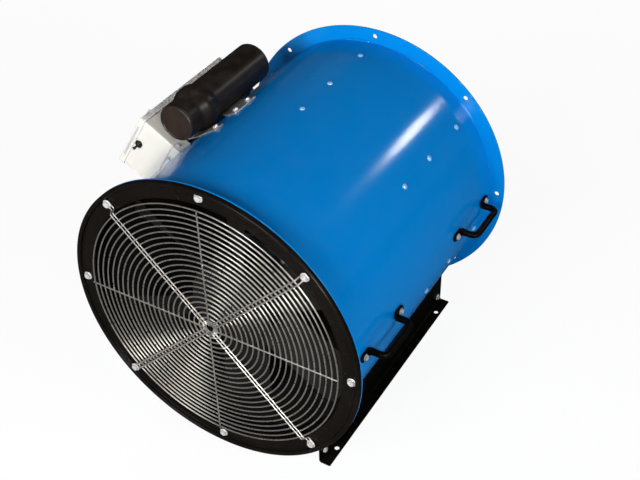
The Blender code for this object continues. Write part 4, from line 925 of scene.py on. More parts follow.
TUBE_MIDDLE = Vector(middle("capacitor_tube")) - Vector((AXIS_X, AXIS_Z))
TUBE_TURN = atan2(TUBE_MIDDLE.y, TUBE_MIDDLE.x)
TUBE_REACH = TUBE_MIDDLE.length
TUBE_WAIST = 0.0445
STRAP_SHEET = 0.0025


# ---- shell and flanges -----------------------------------------------------------------------

def make_shell():
    bm = tube(BORE, SHELL, SHELL_FRONT, SHELL_REAR, 0.0006, 240)
    # Inner faces take the near-black painted shade of the fan's inside
    for face in bm.faces:
        out = face.calc_center_median() * Vector((1, 0, 1))
        face.material_index = int(face.normal.dot(out.normalized()) < -0.5)
    piece("rolled_shell", bm, blue_paint, materials=(interior_painted_shade,), stands_for=("fan_housing",))


def make_flange(name, node, bolt_circle, hole_radius):
    front, rear = span(node)
    outlines = [circle(FLANGE, 240), circle(SHELL - 0.0006, 240)]
    outlines += [circle(hole_radius, 24, polar(bolt_circle, angle).xz) for angle in BOLT_ANGLES]
    piece(name, plate(outlines, rear - front, 0.0006, (front + rear) / 2), blue_paint, stands_for=(node,))


def weld_bead(radius, along, sweep, size):
    """One stitch of weld in the corner of the shell and a flange, rippled, with tapered ends."""
    steps = 26
    rows = []
    for i in range(steps + 1):
        share = i / steps
        taper = sqrt(max(0.0, 1 - (2 * share - 1) ** 6))
        reach = max(size * taper * (1 + 0.13 * sin(share * steps * pi)), size * 0.05)
        rows.append([polar(radius + out, sweep * (share - 0.5), along + aside)
                     for out, aside in circle(reach, 8)])
    return lofted(rows)


def make_flange_welds():
    """Twelve stitches join each flange to the shell."""
    for name, along in (("outlet_flange_welds", span("outlet_flange")[0] - 0.0008),
                        ("inlet_flange_welds", span("inlet_flange")[1] + 0.0008)):
        stitch = weld_bead(SHELL + 0.0008, along, radians(13), 0.0026)
        piece(name, repeated(stitch, STITCHES, weld_paint, radians(68.5)), weld_paint)


def make_shell_seam():
    """The lengthwise weld that closes the rolled shell, underneath."""
    steps = 300
    rows = []
    for i in range(steps + 1):
        along = SHELL_FRONT + 0.008 + (SHELL_REAR - SHELL_FRONT - 0.016) * i / steps
        height = 0.0009 * (1 + 0.2 * sin(i * pi * 0.9))
        shares = [k / 3 - 1 for k in range(7)]
        rows.append([(0.0032 * share, along, 0.0004 - SHELL - height * (1 - share ** 2))
                     for share in shares])
    piece("shell_seam_weld", lofted(rows), blue_paint)


# ---- inlet ring and guard --------------------------------------------------------------------

def make_inlet_ring():
    """Spun ring: curled rim, flat face, rounded throat and a collar inside the shell."""
    bead = FLANGE - RIM_BEAD
    rise = RIM_BEAD - PLATE / 2
    collar_end = span("inlet_venturi")[1]
    bend = BORE - THROAT - GAP
    centre = (THROAT + bend, bend)
    outline = [(FLANGE, PLATE)] + arc(RIM_BEAD, 0, -pi, 16, (bead, -rise))
    outline += rounded([(bead - RIM_BEAD, -rise), (bead - RIM_BEAD, 0.0), (centre[0], 0.0)], 0.0018, 5,
                       closed=False)[1:-1]
    outline += arc(bend, -pi / 2, -pi, 8, centre)
    outline += rounded([(THROAT, bend), (THROAT, collar_end), (THROAT + PLATE, collar_end),
                        (THROAT + PLATE, bend)], 0.0006, 2, closed=False)[1:-1]
    outline += arc(bend - PLATE, -pi, -pi / 2, 4, centre)
    piece("inlet_ring", turned(outline, 240), ring_paint, stands_for=("inlet_venturi",), sharp=50)


def eased(start, end, steps):
    """Points of a soft step between two points, the first value easing as the second runs on."""
    points = []
    for i in range(steps + 1):
        share = i / steps
        ease = 0.5 - 0.5 * cos(pi * share)
        points.append((start[0] + (end[0] - start[0]) * ease, start[1] + (end[1] - start[1]) * share))
    return points


def guard_lines():
    """Middle lines of one single spoke and of one pair that loops round its bolt."""
    depth = GUARD_FRONT + WIRE / 2
    at_plate = -GAP - WIRE / 2
    past_rings = LAST_RING + WIRE / 2
    side = [(depth, 0.011), (depth, LAST_RING)]
    side += eased((depth, past_rings + 0.002), (at_plate, INLET_CIRCLE - 0.0135), 8)
    side.append((at_plate, INLET_CIRCLE - 0.001))
    half = PAIR / 2
    pair = [(reach, along, half) for along, reach in side]
    pair += [(INLET_CIRCLE + out, at_plate, up) for up, out in arc(half, 0, pi, 14)]
    pair += [(reach, along, -half) for along, reach in side[::-1]]
    turn = Matrix.Rotation(-pi / 4, 3, "Y")
    return [(0.009, depth, 0), (past_rings, depth, 0)], [turn @ Vector(point) for point in pair]


def make_guard():
    bm = bmesh.new()
    for line in guard_lines():
        verts = [bm.verts.new(point) for point in line]
        for pair in zip(verts, verts[1:]):
            bm.edges.new(pair)
    wires = grown(guard_tree, bm, rings=RINGS, first_ring=FIRST_RING, ring_pitch=RING_PITCH,
                  ring_depth=GUARD_FRONT + 1.5 * WIRE, wire=WIRE, spokes=8,
                  spoke_depth=GUARD_FRONT + 1.2 * WIRE, finish=guard_zinc)
    piece("wire_guard", wires, guard_zinc, stands_for=("inlet_guard",), sharp=60)
    hub = plate([circle(0.019, 64), circle(0.0092, 40)], 0.0026, 0.0005, GUARD_FRONT + WIRE + 0.0016)
    piece("guard_hub_plate", hub, guard_zinc)


def make_guard_bolts():
    seats = [(polar(INLET_CIRCLE, angle, -GAP - (i % 2) * (WIRE + GAP)), (0, -1, 0))
             for i, angle in enumerate(BOLT_ANGLES)]
    fasteners("guard_bolts", hex_bolt(0.0128, 0.0044, 0.0095, 0.0015), seats, plated, seed=3,
              stands_for=["guard_bolt_%d" % (i + 1) for i in range(BOLTS)])
    seats = [(polar(INLET_CIRCLE, angle, span("inlet_flange")[1]), (0, 1, 0)) for angle in BOLT_ANGLES]
    fasteners("guard_nuts", nut_on_stud(0.0115, 0.0052, 0.0030, 0.0075), seats, plated, seed=4)


# ---- impeller --------------------------------------------------------------------------------

def make_hub():
    """Cast hub: rounded nose, a turned recess round the bolt, and a hollow behind."""
    outline = rounded([
        (0.0146, HUB_FRONT), (0.030, HUB_FRONT), (0.0325, HUB_FRONT + 0.003), (0.074, HUB_FRONT + 0.003),
        (0.0765, HUB_FRONT), (HUB, HUB_FRONT), (HUB, HUB_REAR), (HUB - 0.010, HUB_REAR),
        (HUB - 0.010, HUB_FRONT + 0.010), (0.032, HUB_FRONT + 0.010), (0.032, HUB_REAR - 0.010),
        (0.0146, HUB_REAR - 0.010)],
        [0.0004, 0.0008, 0.0012, 0.0012, 0.0008, 0.010, 0.001, 0.001, 0.006, 0.006, 0.001, 0.0004], 6)
    spoke = block((0.034, HUB_FRONT + 0.001, -0.0022), (0.073, HUB_FRONT + 0.004, 0.0022), 0.0008)
    # Hub and spokes take the near-black painted shade
    whole = joined(turned(outline, 144), repeated(spoke, 6, impeller_painted_shade, radians(30)))
    piece("hub_casting", whole, impeller_painted_shade, body="impeller", stands_for=("impeller_hub",))
    seats = [(polar(0.053, radians(60 * i), HUB_FRONT + 0.003), (0, -1, 0)) for i in range(6)]
    # Clamp screws take the near-black painted shade
    fasteners("hub_clamp_screws", hex_bolt(0.010, 0.005, 0.0068, 0.0012), seats, plated_painted_shade, seed=9,
              body="impeller")


def blade_section(radius, share):
    """Aerofoil wrapped on a cylinder, from the blade's root at 0 to its tip at 1."""
    chord = 0.084 + 0.020 * share
    if share > 0.9:
        chord *= 1 - 0.10 * ((share - 0.9) / 0.1) ** 3
    pitch = radians(42 - 18 * share)
    thickness = 0.0088 * (1 - 0.45 * share)
    if share < 0.06:
        thickness *= 1 + 0.7 * (1 - share / 0.06) ** 2
    section = []
    for run, side in circle(0.5, 28):
        camber = 0.055 * chord * (1 - 4 * run * run)
        rise = camber + thickness * side * (1.0 - 0.5 * run)
        around = run * chord * cos(pitch) - rise * sin(pitch)
        along = run * chord * sin(pitch) + rise * cos(pitch)
        section.append(polar(radius, around / radius, (HUB_FRONT + HUB_REAR) / 2 + along))
    return section


def make_blades():
    root = HUB - 0.002
    steps = 26
    blade = lofted([blade_section(root + (BLADE_TIP - root) * i / steps, i / steps)
                    for i in range(steps + 1)])
    # The blades take the near-black painted shade
    piece("impeller_blades", repeated(blade, BLADES, impeller_painted_shade, pi / 2), impeller_painted_shade,
          body="impeller", stands_for=["fan_blade_%d" % (i + 1) for i in range(BLADES)])


def make_hub_bolt():
    bolt = joined(washer(0.024, 0.004), hex_head(0.0185, 0.004, 0.0118))
    # Hub bolt takes the near-black painted shade
    piece("hub_bolt_and_washer", moved(bolt, slid(y=HUB_FRONT - GAP) @ UPRIGHT), plated_painted_shade,
          body="impeller", stands_for=("hub_bolt",))


# ---- motor, sleeve and vanes -----------------------------------------------------------------

def make_motor():
    fin = prism(rounded([(FRAME - 0.001, -0.0014), (FRAME + 0.013, -0.0008), (FRAME + 0.013, 0.0008),
                         (FRAME - 0.001, 0.0014)], 0.0006, 2), FRAME_FRONT + 0.014, FRAME_REAR - 0.014)
    rib = prism(rounded(rectangle(FRAME - 0.001, SLEEVE_BORE - 0.0015, -0.005, 0.005), 0.0008, 2),
                FRAME_FRONT, FRAME_REAR)
    body = joined(tube(FRAME - 0.006, FRAME, FRAME_FRONT, FRAME_REAR, 0.001, 120),
                  repeated(fin, 40, motor_paint, radians(4.5)), repeated(rib, 8, motor_paint))
    piece("motor_frame_ribbed", body, motor_paint, stands_for=("motor_frame",))
    make_end_bell("drive_end_bell", "front_end_bell", FRAME_FRONT, -1)
    make_end_bell("rear_end_bell_ribbed", "rear_end_bell", FRAME_REAR, 1)
    for node, finish in (("stator_core", copper), ("front_bearing", bearing_steel),
                         ("rear_bearing", bearing_steel), ("motor_shaft", bearing_steel),
                         ("rotor_core", bearing_steel), ("run_capacitor", can_metal)):
        frame["nodes"][node].material_slots[0].material = finish


def make_end_bell(name, node, seat, outward):
    """End shield with a raised bearing cap, eight ribs and four through bolts."""
    deep = 0.012
    bore = 0.0150
    profile = rounded([
        (bore if outward < 0 else 0.0, deep), (0.030, deep), (0.034, deep - 0.004),
        (0.040, deep - 0.0055), (0.066, deep - 0.0055), (0.076, deep - 0.001),
        (FRAME - 0.001, deep - 0.001), (FRAME, deep - 0.004), (FRAME, GAP), (bore, GAP)], 0.0012, 3)
    if outward < 0:
        shield = turned(profile, 96)
    else:
        shield = solid_turned([point for point in profile if point[0] > bore - 0.0002], 96)
    rib = block((0.034, deep - 0.007, -0.0025), (0.078, deep - 0.0012, 0.0025), 0.001)
    whole = joined(shield, repeated(rib, 8, motor_paint, radians(22.5)))
    whole = moved(whole, slid(y=seat) @ Matrix.Scale(outward, 4, (0, 1, 0)))
    piece(name, whole, motor_paint, stands_for=(node,))
    seats = [(polar(0.0795, radians(45 + 90 * i), seat + outward * (deep - 0.0055)), (0, outward, 0))
             for i in range(4)]
    fasteners(name + "_bolts", hex_bolt(0.0090, 0.0040, 0.0062, 0.0012), seats, plated, seed=11)


def make_sleeve():
    # The sleeve takes the near-black painted shade of the fan's inside
    piece("motor_sleeve_tube", tube(SLEEVE_BORE, SLEEVE, *span("motor_sleeve"), 0.0008, 160), interior_painted_shade,
          stands_for=("motor_sleeve",))


def make_vanes():
    """Folded straightening vanes, riveted through the shell."""
    outer = BORE - GAP - VANE_SHEET / 2
    inner = SLEEVE + GAP + VANE_SHEET / 2
    flange = 0.024
    path = arc(outer, FIRST_VANE - flange / outer, FIRST_VANE, 3)
    path += arc(inner, FIRST_VANE, FIRST_VANE + flange / inner, 3)
    fold = 0.0036
    path = rounded(path, [0, 0, 0, fold, fold, 0, 0, 0], 5, closed=False)
    vane = formed(path, *span("straightening_vane_1"), VANE_SHEET, 0.0004, 0.006)
    # The vanes take the near-black painted shade of the fan's inside
    piece("straightening_vanes", repeated(vane, VANES, interior_painted_shade, 0.0, -2 * pi / VANES), interior_painted_shade,
          stands_for=["straightening_vane_%d" % (i + 1) for i in range(VANES)])
    seats = []
    for number in range(VANES):
        angle = FIRST_VANE - 2 * pi * number / VANES - radians(0.9)
        seats += [(polar(SHELL, angle, along), polar(1, angle)) for along in RIVETS_ALONG]
    # The rivets take the lighter blue painted highlight
    fasteners("vane_rivets", rivet(0.0064, 0.0036), seats, rivet_highlight_paint, seed=5)


# ---- base rails and handles ------------------------------------------------------------------

def make_rail(name, node, side):
    """Folded rail: foot on the floor, web, and a saddle welded under the shell."""
    web = RAIL_WEB - RAIL_SHEET / 2
    saddle = SHELL + GAP + RAIL_SHEET / 2
    start = -acos(web / saddle)
    floor = -AXIS_Z + RAIL_SHEET / 2
    path = [(RAIL_EDGE, floor), (web, floor)] + arc(saddle, start, start - radians(6), 4)
    path = rounded(path, [0, 0.0045, 0.0035, 0, 0, 0, 0], 6, closed=False)
    holes = [circle(0.0055, 28, (0.01125, along)) for along in FOOT_HOLES]
    bm = formed(path, RAIL_FRONT, RAIL_REAR, RAIL_SHEET, 0.0006, [0.0022, 0.004, 0.004, 0.0022],
                holes=holes)
    piece(name, moved(bm, Matrix.Scale(side, 4, (1, 0, 0))), base_paint, stands_for=(node,))
    seats = [((side * RAIL_WEB, along, -AXIS_Z + 0.023), (side, 0, 0)) for along in WEB_BOLTS]
    fasteners(name + "_bolts", hex_bolt(0.0105, 0.0042, 0.0078, 0.0012), seats, plated, seed=6)


def handle_path(first, second):
    """Middle line of a handle, from tab end to tab end, as finely spaced (out, along) points."""
    base = SHELL + GAP + TAB_HALF
    leg = TAB + HANDLE_ROD
    corners = rounded([(base, first - TAB), (base, first + leg), (HANDLE_REACH, first + leg),
                       (HANDLE_REACH, second - leg), (base, second - leg), (base, second + TAB)],
                      [0, 0.0065, 0.014, 0.014, 0.0065, 0], 8, closed=False)
    points = [Vector(point) for point in corners]
    dense = []
    for a, b in zip(points, points[1:]):
        length = (b - a).length
        pieces = max(1, int(length / 0.0022)) if length < 0.05 else 12
        dense += [a.lerp(b, i / pieces) for i in range(pieces)]
    return dense + points[-1:]


def make_handle(name, node, side):
    """Round grip with its ends pressed flat and bolted."""
    front, rear = span(node)
    bolts = (front + TAB, rear - TAB)
    path = handle_path(*bolts)
    tip = 0.008
    lengths = [0.0]
    for a, b in zip(path, path[1:]):
        lengths.append(lengths[-1] + (b - a).length)
    rows = []
    for i, point in enumerate(path):
        forward = (path[min(i + 1, len(path) - 1)] - path[max(i - 1, 0)]).normalized()
        out = Vector((-forward.y, forward.x))
        from_end = min(lengths[i], lengths[-1] - lengths[i])
        flat = min(max(1.0 - (from_end - TAB_FLAT) / 0.016, 0.0), 1.0)
        flat = flat * flat * (3 - 2 * flat)
        half_out = HANDLE_ROD + (TAB_HALF - HANDLE_ROD) * flat
        half_wide = HANDLE_ROD + (TAB_WIDE - HANDLE_ROD) * flat
        if from_end < tip:
            half_wide *= sqrt(max(1 - (1 - from_end / tip) ** 2, 0.12))
        power = 1 - 0.55 * flat
        row = []
        for c, s in arc(1.0, pi / 20, 39 * pi / 20, 19):
            spot = point + out * half_out * copysign(abs(s) ** power, s)
            row.append((side * spot.x, spot.y, half_wide * copysign(abs(c) ** power, c)))
        rows.append(row)
    piece(name, lofted(rows), base_paint, stands_for=(node,))
    seats = [((side * (SHELL + GAP + 2 * TAB_HALF), along, 0), (side, 0, 0)) for along in bolts]
    fasteners(name + "_bolts", hex_bolt(0.0098, 0.0040, 0.0072, 0.0011), seats, plated, seed=7 + side)


# ---- control enclosure -----------------------------------------------------------------------

def tray(back, mouth, front, rear, half, wall, bend):
    """Open tray, skinned from its inner floor over its rim to its outer floor."""
    deep = 1 if mouth > back else -1
    lip = 0.0003
    outer = bend + wall
    levels = [(back + deep * (outer - out), outer - up, bend) for out, up in arc(bend, 0, pi / 2, 4)]
    levels += [(mouth - deep * lip, wall, bend), (mouth, wall + lip, bend), (mouth, lip, outer),
               (mouth - deep * lip, 0, outer)]
    levels += [(back + deep * (outer - out), outer - up, outer) for out, up in arc(outer, pi / 2, 0, 4)]
    rows = []
    for x, inset, corner in levels:
        level = rectangle(front + inset, rear - inset, -half + inset, half - inset)
        rows.append([(x, y, z) for y, z in rounded(level, corner)])
    return lofted(rows)


def hinge_knuckle(side, rise, number):
    """Rolled knuckle with a leaf that rises beside it, in the plane across the fan."""
    clearance = 0.0003
    knuckle = 0.004
    last = acos(clearance / knuckle) - 2 * pi
    outline = arc(knuckle, 0, last, 28) + [(clearance, rise), (knuckle, rise)]
    start = FIRST_KNUCKLE + KNUCKLE_PITCH * number
    bm = prism([(side * x, z) for x, z in outline], start, start + KNUCKLE)
    return moved(softened(bm, 0.0003, 1, radians(60)), slid(x=-COVER_RIM, z=-HINGE_DROP))


def make_enclosure():
    box = tray(-BOX_BACK, -BOX_EDGE, BOX_FRONT, BOX_FRONT + BOX_LENGTH, BOX_HALF, BOX_WALL, 0.0012)
    posts = [block((-BOX_EDGE + 0.0006, station - 0.009, SCREW_UP - 0.009),
                   (-BOX_EDGE + 0.016, station + 0.009, BOX_HALF - 0.001), 0.001)
             for station in SCREWS_ALONG]
    leaves = [hinge_knuckle(1, HINGE_DROP - BOX_HALF + BOX_WALL / 2, i) for i in (0, 2, 4)]
    piece("enclosure_tray", joined(box, *posts, *leaves), cream_paint, place=BOX,
          stands_for=("control_box",))
    start = FIRST_KNUCKLE - 0.002
    end = FIRST_KNUCKLE + 5 * KNUCKLE_PITCH + 0.002
    pin = solid_turned([(0.0014, start), (0.0020, start + 0.0006), (0.0020, end - 0.0006),
                        (0.0014, end)], 20)
    piece("enclosure_hinge_pin", moved(pin, slid(x=-COVER_RIM, z=-HINGE_DROP)), plated, place=BOX,
          stands_for=("hinge_pin",))


def make_cover():
    cover = tray(-COVER_FACE, -COVER_RIM, COVER_FRONT, COVER_REAR, COVER_HALF, COVER_WALL, 0.0010)
    leaves = [hinge_knuckle(-1, 0.0045 + COVER_WALL / 2, i) for i in (1, 3)]
    piece("enclosure_cover", joined(cover, *leaves), cream_paint, place=BOX, body="cover",
          stands_for=("control_cover",))
    seats = [((-COVER_FACE, station, SCREW_UP), (-1, 0, 0)) for station in SCREWS_ALONG]
    fasteners("enclosure_cover_screws", slotted_screw(0.0052, 0.0030), seats, plated, place=BOX,
              body="cover", stands_for=("cover_screw_1", "cover_screw_2"), seed=2)
    strip = block((-COVER_FACE + 0.0008, COVER_FRONT + 0.004, COVER_HALF - 0.0003),
                  (-COVER_RIM - 0.0006, COVER_REAR - 0.004, COVER_HALF + 0.0006), 0.0003)
    piece("cover_drip_strip", strip, strip_finish, place=BOX, body="cover")
    # Grey strip along the cover's front edge: painted shadow of the gap between the cover's rim and the box
    # wall
    edge = -COVER_FACE + 0.0034
    shadow_strip = block((edge, COVER_FRONT - 0.0005, -0.047), (edge + 0.005, COVER_FRONT + 0.0005, 0.052), 0.0004)
    piece("cover_side_seal", shadow_strip, gap_shade_grey, place=BOX, body="cover")


def make_toggle():
    """Toggle switch: body inside, threaded bushing, hexagon nut and bat lever."""
    inside = BOX_FRONT + BOX_WALL + GAP
    mouth = BOX_FRONT - 0.0050
    body = block((-0.009, inside, -0.015), (0.009, inside + 0.026, 0.015), 0.0012)
    bushing = [(0.0060, mouth)]
    for i in range(8):
        along = mouth + 0.0050 * i / 8
        bushing += [(0.0072, along), (0.0069, along + 0.0003)]
    bushing += [(0.0072, BOX_FRONT), (0.0072, inside), (0.0060, inside)]
    cup = solid_turned([(0.0061, mouth + 0.0042), (0.0061, mouth + 0.0060)], 24)
    place = BOX @ slid(x=TOGGLE.x, z=TOGGLE.z)
    piece("toggle_body", joined(body, turned(bushing, 40), cup), toggle_plastic, place=place,
          stands_for=("switch_body",))
    contacts = [block((-0.004, inside + 0.025, z - 0.0008), (0.004, inside + 0.034, z + 0.0008), 0.0003)
                for z in (-0.010, 0.0, 0.010)]
    piece("toggle_contacts", joined(*contacts), terminal_brass, place=place)
    nut = moved(hex_head(0.0166, GAP, 0.0034), Matrix.Translation(TOGGLE) @ UPRIGHT)
    piece("toggle_nut", nut, nut_black, place=BOX, stands_for=("switch_nut",))
    bat = [(0.0028, 0.0048), (0.0050, 0.0030), (0.0058, 0.0), (0.0050, -0.0030), (0.0024, -0.0052),
           (0.0023, -0.0080), (0.0036, -0.0160), (0.0036, -0.0172), (0.0030, -0.0184), (0.0018, -0.0190)]
    piece("toggle_lever", solid_turned(bat, 28), toggle_plastic, body="lever",
          stands_for=("switch_lever",),
          place=BOX @ Matrix.Translation(TOGGLE) @ Matrix.Rotation(radians(12), 4, "X"))


def make_enclosure_saddles():
    """Brackets that carry the enclosure on the shell, one under each end."""
    top = BOX_BACK - 0.0002
    side = BOX_HALF - 0.0006
    sheet = 0.002
    seat = SHELL + GAP
    low = sqrt(seat ** 2 - side ** 2)
    reach = acos(side / seat)
    curve = [(-x, z) for x, z in arc(seat, reach - pi / 2, pi / 2 - reach, 24)]
    for name, along, inward in (("front", BOX_FRONT + 0.0005, 1),
                                ("rear", BOX_FRONT + BOX_LENGTH - 0.0005, -1)):
        bracket = [plate([curve + [(-top, side), (-top, -side)]], sheet, 0.0004,
                         along + inward * sheet / 2)]
        seats = [((-SHELL - 0.0045, along, t), (0, -inward, 0)) for t in (0.038, -0.038)]
        if name == "front":
            for hand in (1, -1):
                bracket.append(block((-top, along + sheet, min(hand * side, hand * (side - sheet))),
                                     (-low, along + 0.039, max(hand * side, hand * (side - sheet))), 0.0003))
                seats.append(((-SHELL - 0.0035, along + 0.014, hand * side), (0, 0, hand * side)))
        piece("enclosure_saddle_" + name, joined(*bracket), cream_paint, place=BOX)
        fasteners("enclosure_saddle_%s_bolts" % name, hex_bolt(0.0070, 0.0028, 0.0050, 0.0008), seats,
                  plated, place=BOX, seed=23)


GEAR_BACK = -BOX_BACK - BOX_WALL - GAP


def make_contactor():
    """Three-pole contactor on the back wall."""
    start = 0.400
    end = 0.470
    pole = 0.0163
    parts = [block((GEAR_BACK - 0.030, start, -0.036), (GEAR_BACK, end, 0.036), 0.0015),
             block((GEAR_BACK - 0.044, start + 0.004, -0.024), (GEAR_BACK - 0.029, end - 0.004, 0.024),
                   0.0015),
             block((GEAR_BACK - 0.052, start + 0.020, -0.012), (GEAR_BACK - 0.043, end - 0.020, 0.012),
                   0.0012)]
    seats = []
    for up in (-0.0295, 0.0295):
        for i in range(4):
            y = start + 0.0105 + i * pole
            parts.append(block((GEAR_BACK - 0.040, y - 0.0060, up - 0.0055),
                               (GEAR_BACK - 0.029, y - 0.0050, up + 0.0055), 0.0003))
        seats += [((GEAR_BACK - 0.030, start + 0.0133 + i * pole, up), (-1, 0, 0)) for i in range(3)]
    piece("contactor_body", joined(*parts), gear_plastic, place=BOX, stands_for=("contactor",))
    fasteners("contactor_screws", slotted_screw(0.0036, 0.0026), seats, terminal_brass, place=BOX, seed=21)


def make_terminals():
    """Strip of five terminals on the back wall."""
    start = 0.325
    length = 0.060
    first = start + 0.0012
    pitch = (length - 0.0024) / 5
    base = [block((GEAR_BACK - 0.012, start, -0.014), (GEAR_BACK, start + length, 0.014), 0.001)]
    base += [block((GEAR_BACK - 0.022, first + i * pitch - 0.0011, -0.014),
                   (GEAR_BACK - 0.011, first + i * pitch + 0.0011, 0.014), 0.0003) for i in range(6)]
    piece("terminal_strip_base", joined(*base), gear_plastic, place=BOX, slot="black_plastic")
    bars = []
    seats = []
    for i in range(5):
        y = first + (i + 0.5) * pitch
        bars.append(block((GEAR_BACK - 0.0135, y - 0.0038, -0.012),
                          (GEAR_BACK - 0.0115, y + 0.0038, 0.012), 0.0003))
        seats += [((GEAR_BACK - 0.0135, y, z), (-1, 0, 0)) for z in (-0.0065, 0.0065)]
    piece("terminal_bars", joined(*bars), terminal_brass, place=BOX, stands_for=("terminal_block",))
    fasteners("terminal_screws", slotted_screw(0.0032, 0.0026), seats, terminal_brass, place=BOX, seed=22)


# ---- capacitor housing, straps and conduit ---------------------------------------------------

def make_capacitor_housing():
    """Moulded tube that swells to a bell, closed by a recessed plug."""
    axis = FAN @ slid(x=TUBE_MIDDLE.x, z=TUBE_MIDDLE.y)
    front, rear = span("capacitor_tube")
    face = span("capacitor_plug")[0]
    outline = [(0.0385, face + 0.0075), (0.0395, face + 0.0045), (0.0403, face + 0.0052),
               (0.0405, face + 0.0064)]
    outline += eased((0.0406, front - 0.012), (0.0500, front + 0.020), 14)
    outline += eased((0.0500, front + 0.028), (TUBE_WAIST, front + 0.052), 14)
    outline += rounded([(TUBE_WAIST, rear - 0.020), (TUBE_WAIST, rear), (0.020, rear)], 0.0060, 6,
                       closed=False)
    piece("capacitor_housing_tube", solid_turned(outline, 112), tube_plastic, place=axis,
          stands_for=("capacitor_tube",))
    plug = rounded([(0.0398, face + 0.009), (0.0398, face), (0.0362, face), (0.0352, face + 0.0016),
                    (0.0130, face + 0.0016), (0.0115, face + 0.0010)],
                   [0.0, 0.0030, 0.0007, 0.0010, 0.0007, 0.0], 6)
    piece("capacitor_housing_plug", solid_turned(plug, 112), plug_plastic, place=axis,
          stands_for=("capacitor_plug",))


def shell_point(radius, angle):
    """Point of the enclosure's frame on a circle round the fan, up from the enclosure's middle."""
    return (-radius * cos(angle), radius * sin(angle))


def make_strap(name, node, rest):
    """Galvanised strap folded from the shell up under the enclosure and the capacitor housing."""
    front, rear = span(node)
    on_shell = SHELL + GAP + STRAP_SHEET / 2
    under_box = BOX_BACK - GAP - STRAP_SHEET / 2
    tube_side = pi - TILT - TUBE_TURN
    pad = 0.008 / TUBE_REACH
    tab = (tube_side + 0.0505 / SHELL, tube_side + 0.03725 / SHELL, tube_side + 0.024 / SHELL)
    flat = BOX_HALF - 0.010
    foot = [-(flat + past) / SHELL for past in (0.026, 0.038, 0.050)]
    path = [shell_point(on_shell, angle) for angle in tab]
    path += [shell_point(rest, tube_side + pad), shell_point(rest, tube_side - pad),
             (-under_box, flat), (-under_box, -flat)]
    path += [shell_point(on_shell, angle) for angle in foot]
    path = rounded(path, [0, 0, 0.008, 0.006, 0.006, 0.008, 0.008, 0.008, 0, 0], 6, closed=False)
    piece(name, formed(path, front, rear, STRAP_SHEET, 0.0005, 0.004, 5), galvanised, place=BOX,
          stands_for=(node,))
    spots = [(front + rear) / 2] if rear - front < 0.05 else [front + 0.016, rear - 0.016]
    seats = []
    for angle in (tab[1] + 0.006, foot[1]):
        x, z = shell_point(on_shell + STRAP_SHEET / 2, angle)
        out_x, out_z = shell_point(1, angle)
        seats += [((x, along, z), (out_x, 0, out_z)) for along in spots]
    fasteners(name + "_bolts", hex_bolt(0.0100, 0.0040, 0.0075, 0.0012), seats, plated, place=BOX,
              seed=31)


def make_conduit():
    along_x = BOX @ slid(y=CONDUIT_ALONG) @ Matrix.Rotation(pi / 2, 4, "Z")
    low = BOX_BACK + BOX_WALL + GAP
    nut = 0.004
    piece("motor_lead_conduit", tube(0.006, 0.0075, SLEEVE_BORE, low + nut + GAP, 0.0005, 40), galvanised,
          place=along_x, stands_for=("lead_conduit",))
    hole = solid_turned([(0.0078, low - 0.002), (0.0078, low + 0.008)], 40)
    piece("conduit_locknut_hex", cut(moved(hex_head(0.0205, 0, nut), slid(y=low + nut) @ UPRIGHT), hole),
          plated, place=along_x, stands_for=("conduit_locknut",))


# ---- making ----------------------------------------------------------------------------------

make_shell()
make_flange("inlet_flange_ring", "inlet_flange", INLET_CIRCLE, BOLT_HOLE)
make_flange("outlet_flange_ring", "outlet_flange", OUTLET_CIRCLE, DUCT_HOLE)
make_flange_welds()
make_shell_seam()
make_inlet_ring()
make_guard()
make_guard_bolts()
make_hub()
make_blades()
make_hub_bolt()
make_motor()
make_sleeve()
make_vanes()
for hand, side in HANDS:
    make_rail("base_rail_%s_folded" % hand, "base_rail_" + hand, side)
for hand, side in HANDS:
    for end in ("front", "rear"):
        make_handle("grip_%s_%s" % (end, hand), "handle_%s_%s" % (end, hand), side)
make_enclosure()
make_enclosure_saddles()
make_cover()
make_toggle()
make_contactor()
make_terminals()
make_capacitor_housing()
make_strap("strap_front_folded", "mounting_strap_front", SHELL + GAP + STRAP_SHEET / 2)
make_strap("strap_rear_folded", "mounting_strap_rear", TUBE_REACH - TUBE_WAIST - GAP - STRAP_SHEET / 2)
make_conduit()


# ---- floor, light and camera -----------------------------------------------------------------

FLOOR_LIFT = 0.92               # share of plain white by the fan, where the floor is the background
STREAK_LAMP = (1.4858, 2.6330, 1.5610)
CAMERA = (1.01359, -1.25640, 1.50391)
LENS = 61.6


def make_floor_finish():
    """Pale floor; where it is the background it is lifted towards white and keeps the shadow."""
    floor = Finish("pale_floor", None, (0.85, 0.85, 0.85), 0.9, specular=0.1)
    tree = floor.tree
    path = add(tree, "ShaderNodeLightPath")
    floor.tint(path["Is Glossy Ray"], (0.07, 0.07, 0.07))
    seen = calculate(tree, "MAXIMUM", path["Is Camera Ray"], path["Is Transmission Ray"])
    white = add(tree, "ShaderNodeEmission", Color=(1, 1, 1, 1), Strength=1.0)[0]
    away = add(tree, "ShaderNodeVectorMath", operation="LENGTH", _0=in_metres(tree))["Value"]
    lift = ranged(tree, away, 1.0, 5.0, FLOOR_LIFT, 1.0)
    lifted = add(tree, "ShaderNodeMixShader", _0=product(tree, seen, lift), _1=floor.shader.outputs[0],
                 _2=white)[0]
    tree.links.new(lifted, tree.nodes["Material Output"].inputs["Surface"])
    return floor.done()


def make_floor():
    half = 80.0
    mesh = bpy.data.meshes.new("floor")
    mesh.from_pydata([(x, y, -0.0003) for x, y in rectangle(-half, half, -half, half)], [], [(0, 1, 2, 3)])
    mesh.materials.append(make_floor_finish())
    linked("floor", mesh)


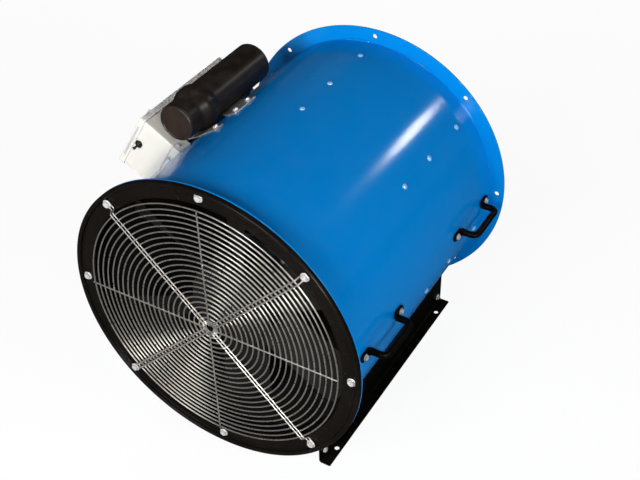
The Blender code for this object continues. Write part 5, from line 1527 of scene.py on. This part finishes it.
def soft_light(name, direction, distance, size, watts, **seen):
    """Rectangular soft light aimed at the fan from a direction."""
    data = bpy.data.lights.new(name, "AREA")
    data.shape = "RECTANGLE"
    data.size, data.size_y = size
    data.energy = watts
    lamp = linked(name, data)
    heading = Vector(direction).normalized()
    lamp.location = FAN @ Vector((0, 0.33, 0)) + heading * distance
    lamp.rotation_euler = heading.to_track_quat("Z", "Y").to_euler()
    for setting, value in seen.items():
        setattr(lamp, setting, value)
    return lamp


def make_surround():
    """Pale surround that darkens overhead, so that gloss paint keeps its colour."""
    world = bpy.data.worlds.new("studio")
    bpy.context.scene.world = world
    world.use_nodes = True
    tree = world.node_tree
    sky = tree.nodes["Background"].inputs
    sky["Color"].default_value = (1.0, 1.0, 1.0, 1.0)
    around = add(tree, "ShaderNodeTexCoord")["Generated"]
    upward = add(tree, "ShaderNodeSeparateXYZ", Vector=around)["Z"]
    level = ranged(tree, upward, 0.05, 0.26, 0.07, 0.05)
    seen = add(tree, "ShaderNodeLightPath")["Is Camera Ray"]
    tree.links.new(calculate(tree, "MAXIMUM", level, seen), sky["Strength"])


def make_lights():
    soft_light("key_softbox", (0.0, -0.85, 0.52), 3.2, (1.3, 1.0), 74)
    soft_light("front_softbox", (-0.04, -1.0, 0.2), 3.2, (0.5, 0.5), 58, visible_glossy=False)
    soft_light("side_softbox", (1.0, -0.05, 0.62), 3.4, (0.8, 0.8), 38)
    soft_light("right_softbox", (0.72, -0.65, 0.343), 3.2, (0.4, 0.4), 25)
    soft_light("glint_softbox", (0.72, -0.65, 0.343), 3.1, (0.4, 0.4), 60, visible_diffuse=False)
    soft_light("back_softbox", (-0.35, 0.85, 0.30), 3.4, (1.6, 1.2), 34, visible_glossy=False)
    streak = soft_light("streak_softbox", (0.497, 0.752, 0.432), 2.8, (0.28, 0.28), 7,
                        visible_diffuse=False)
    streak.data.shape = "DISK"
    streak.location = FAN @ Vector(STREAK_LAMP)


def make_camera():
    azimuth, elevation, roll = radians(31.103), radians(38.912), radians(-1.382)
    right = Vector((cos(azimuth), sin(azimuth), 0))
    forward = Vector((-sin(azimuth) * cos(elevation), cos(azimuth) * cos(elevation), -sin(elevation)))
    up = right.cross(forward)
    turned_right = right * cos(roll) + up * sin(roll)
    turned_up = up * cos(roll) - right * sin(roll)
    data = bpy.data.cameras.new("camera")
    data.lens = LENS
    data.sensor_width = 36
    camera = linked("camera", data)
    axes = Matrix((turned_right, turned_up, -forward)).transposed().to_4x4()
    camera.matrix_world = FAN @ slid(*CAMERA) @ axes
    bpy.context.scene.camera = camera


make_floor()
make_surround()
make_lights()
make_camera()
bpy.context.scene.view_settings.view_transform = "Standard"
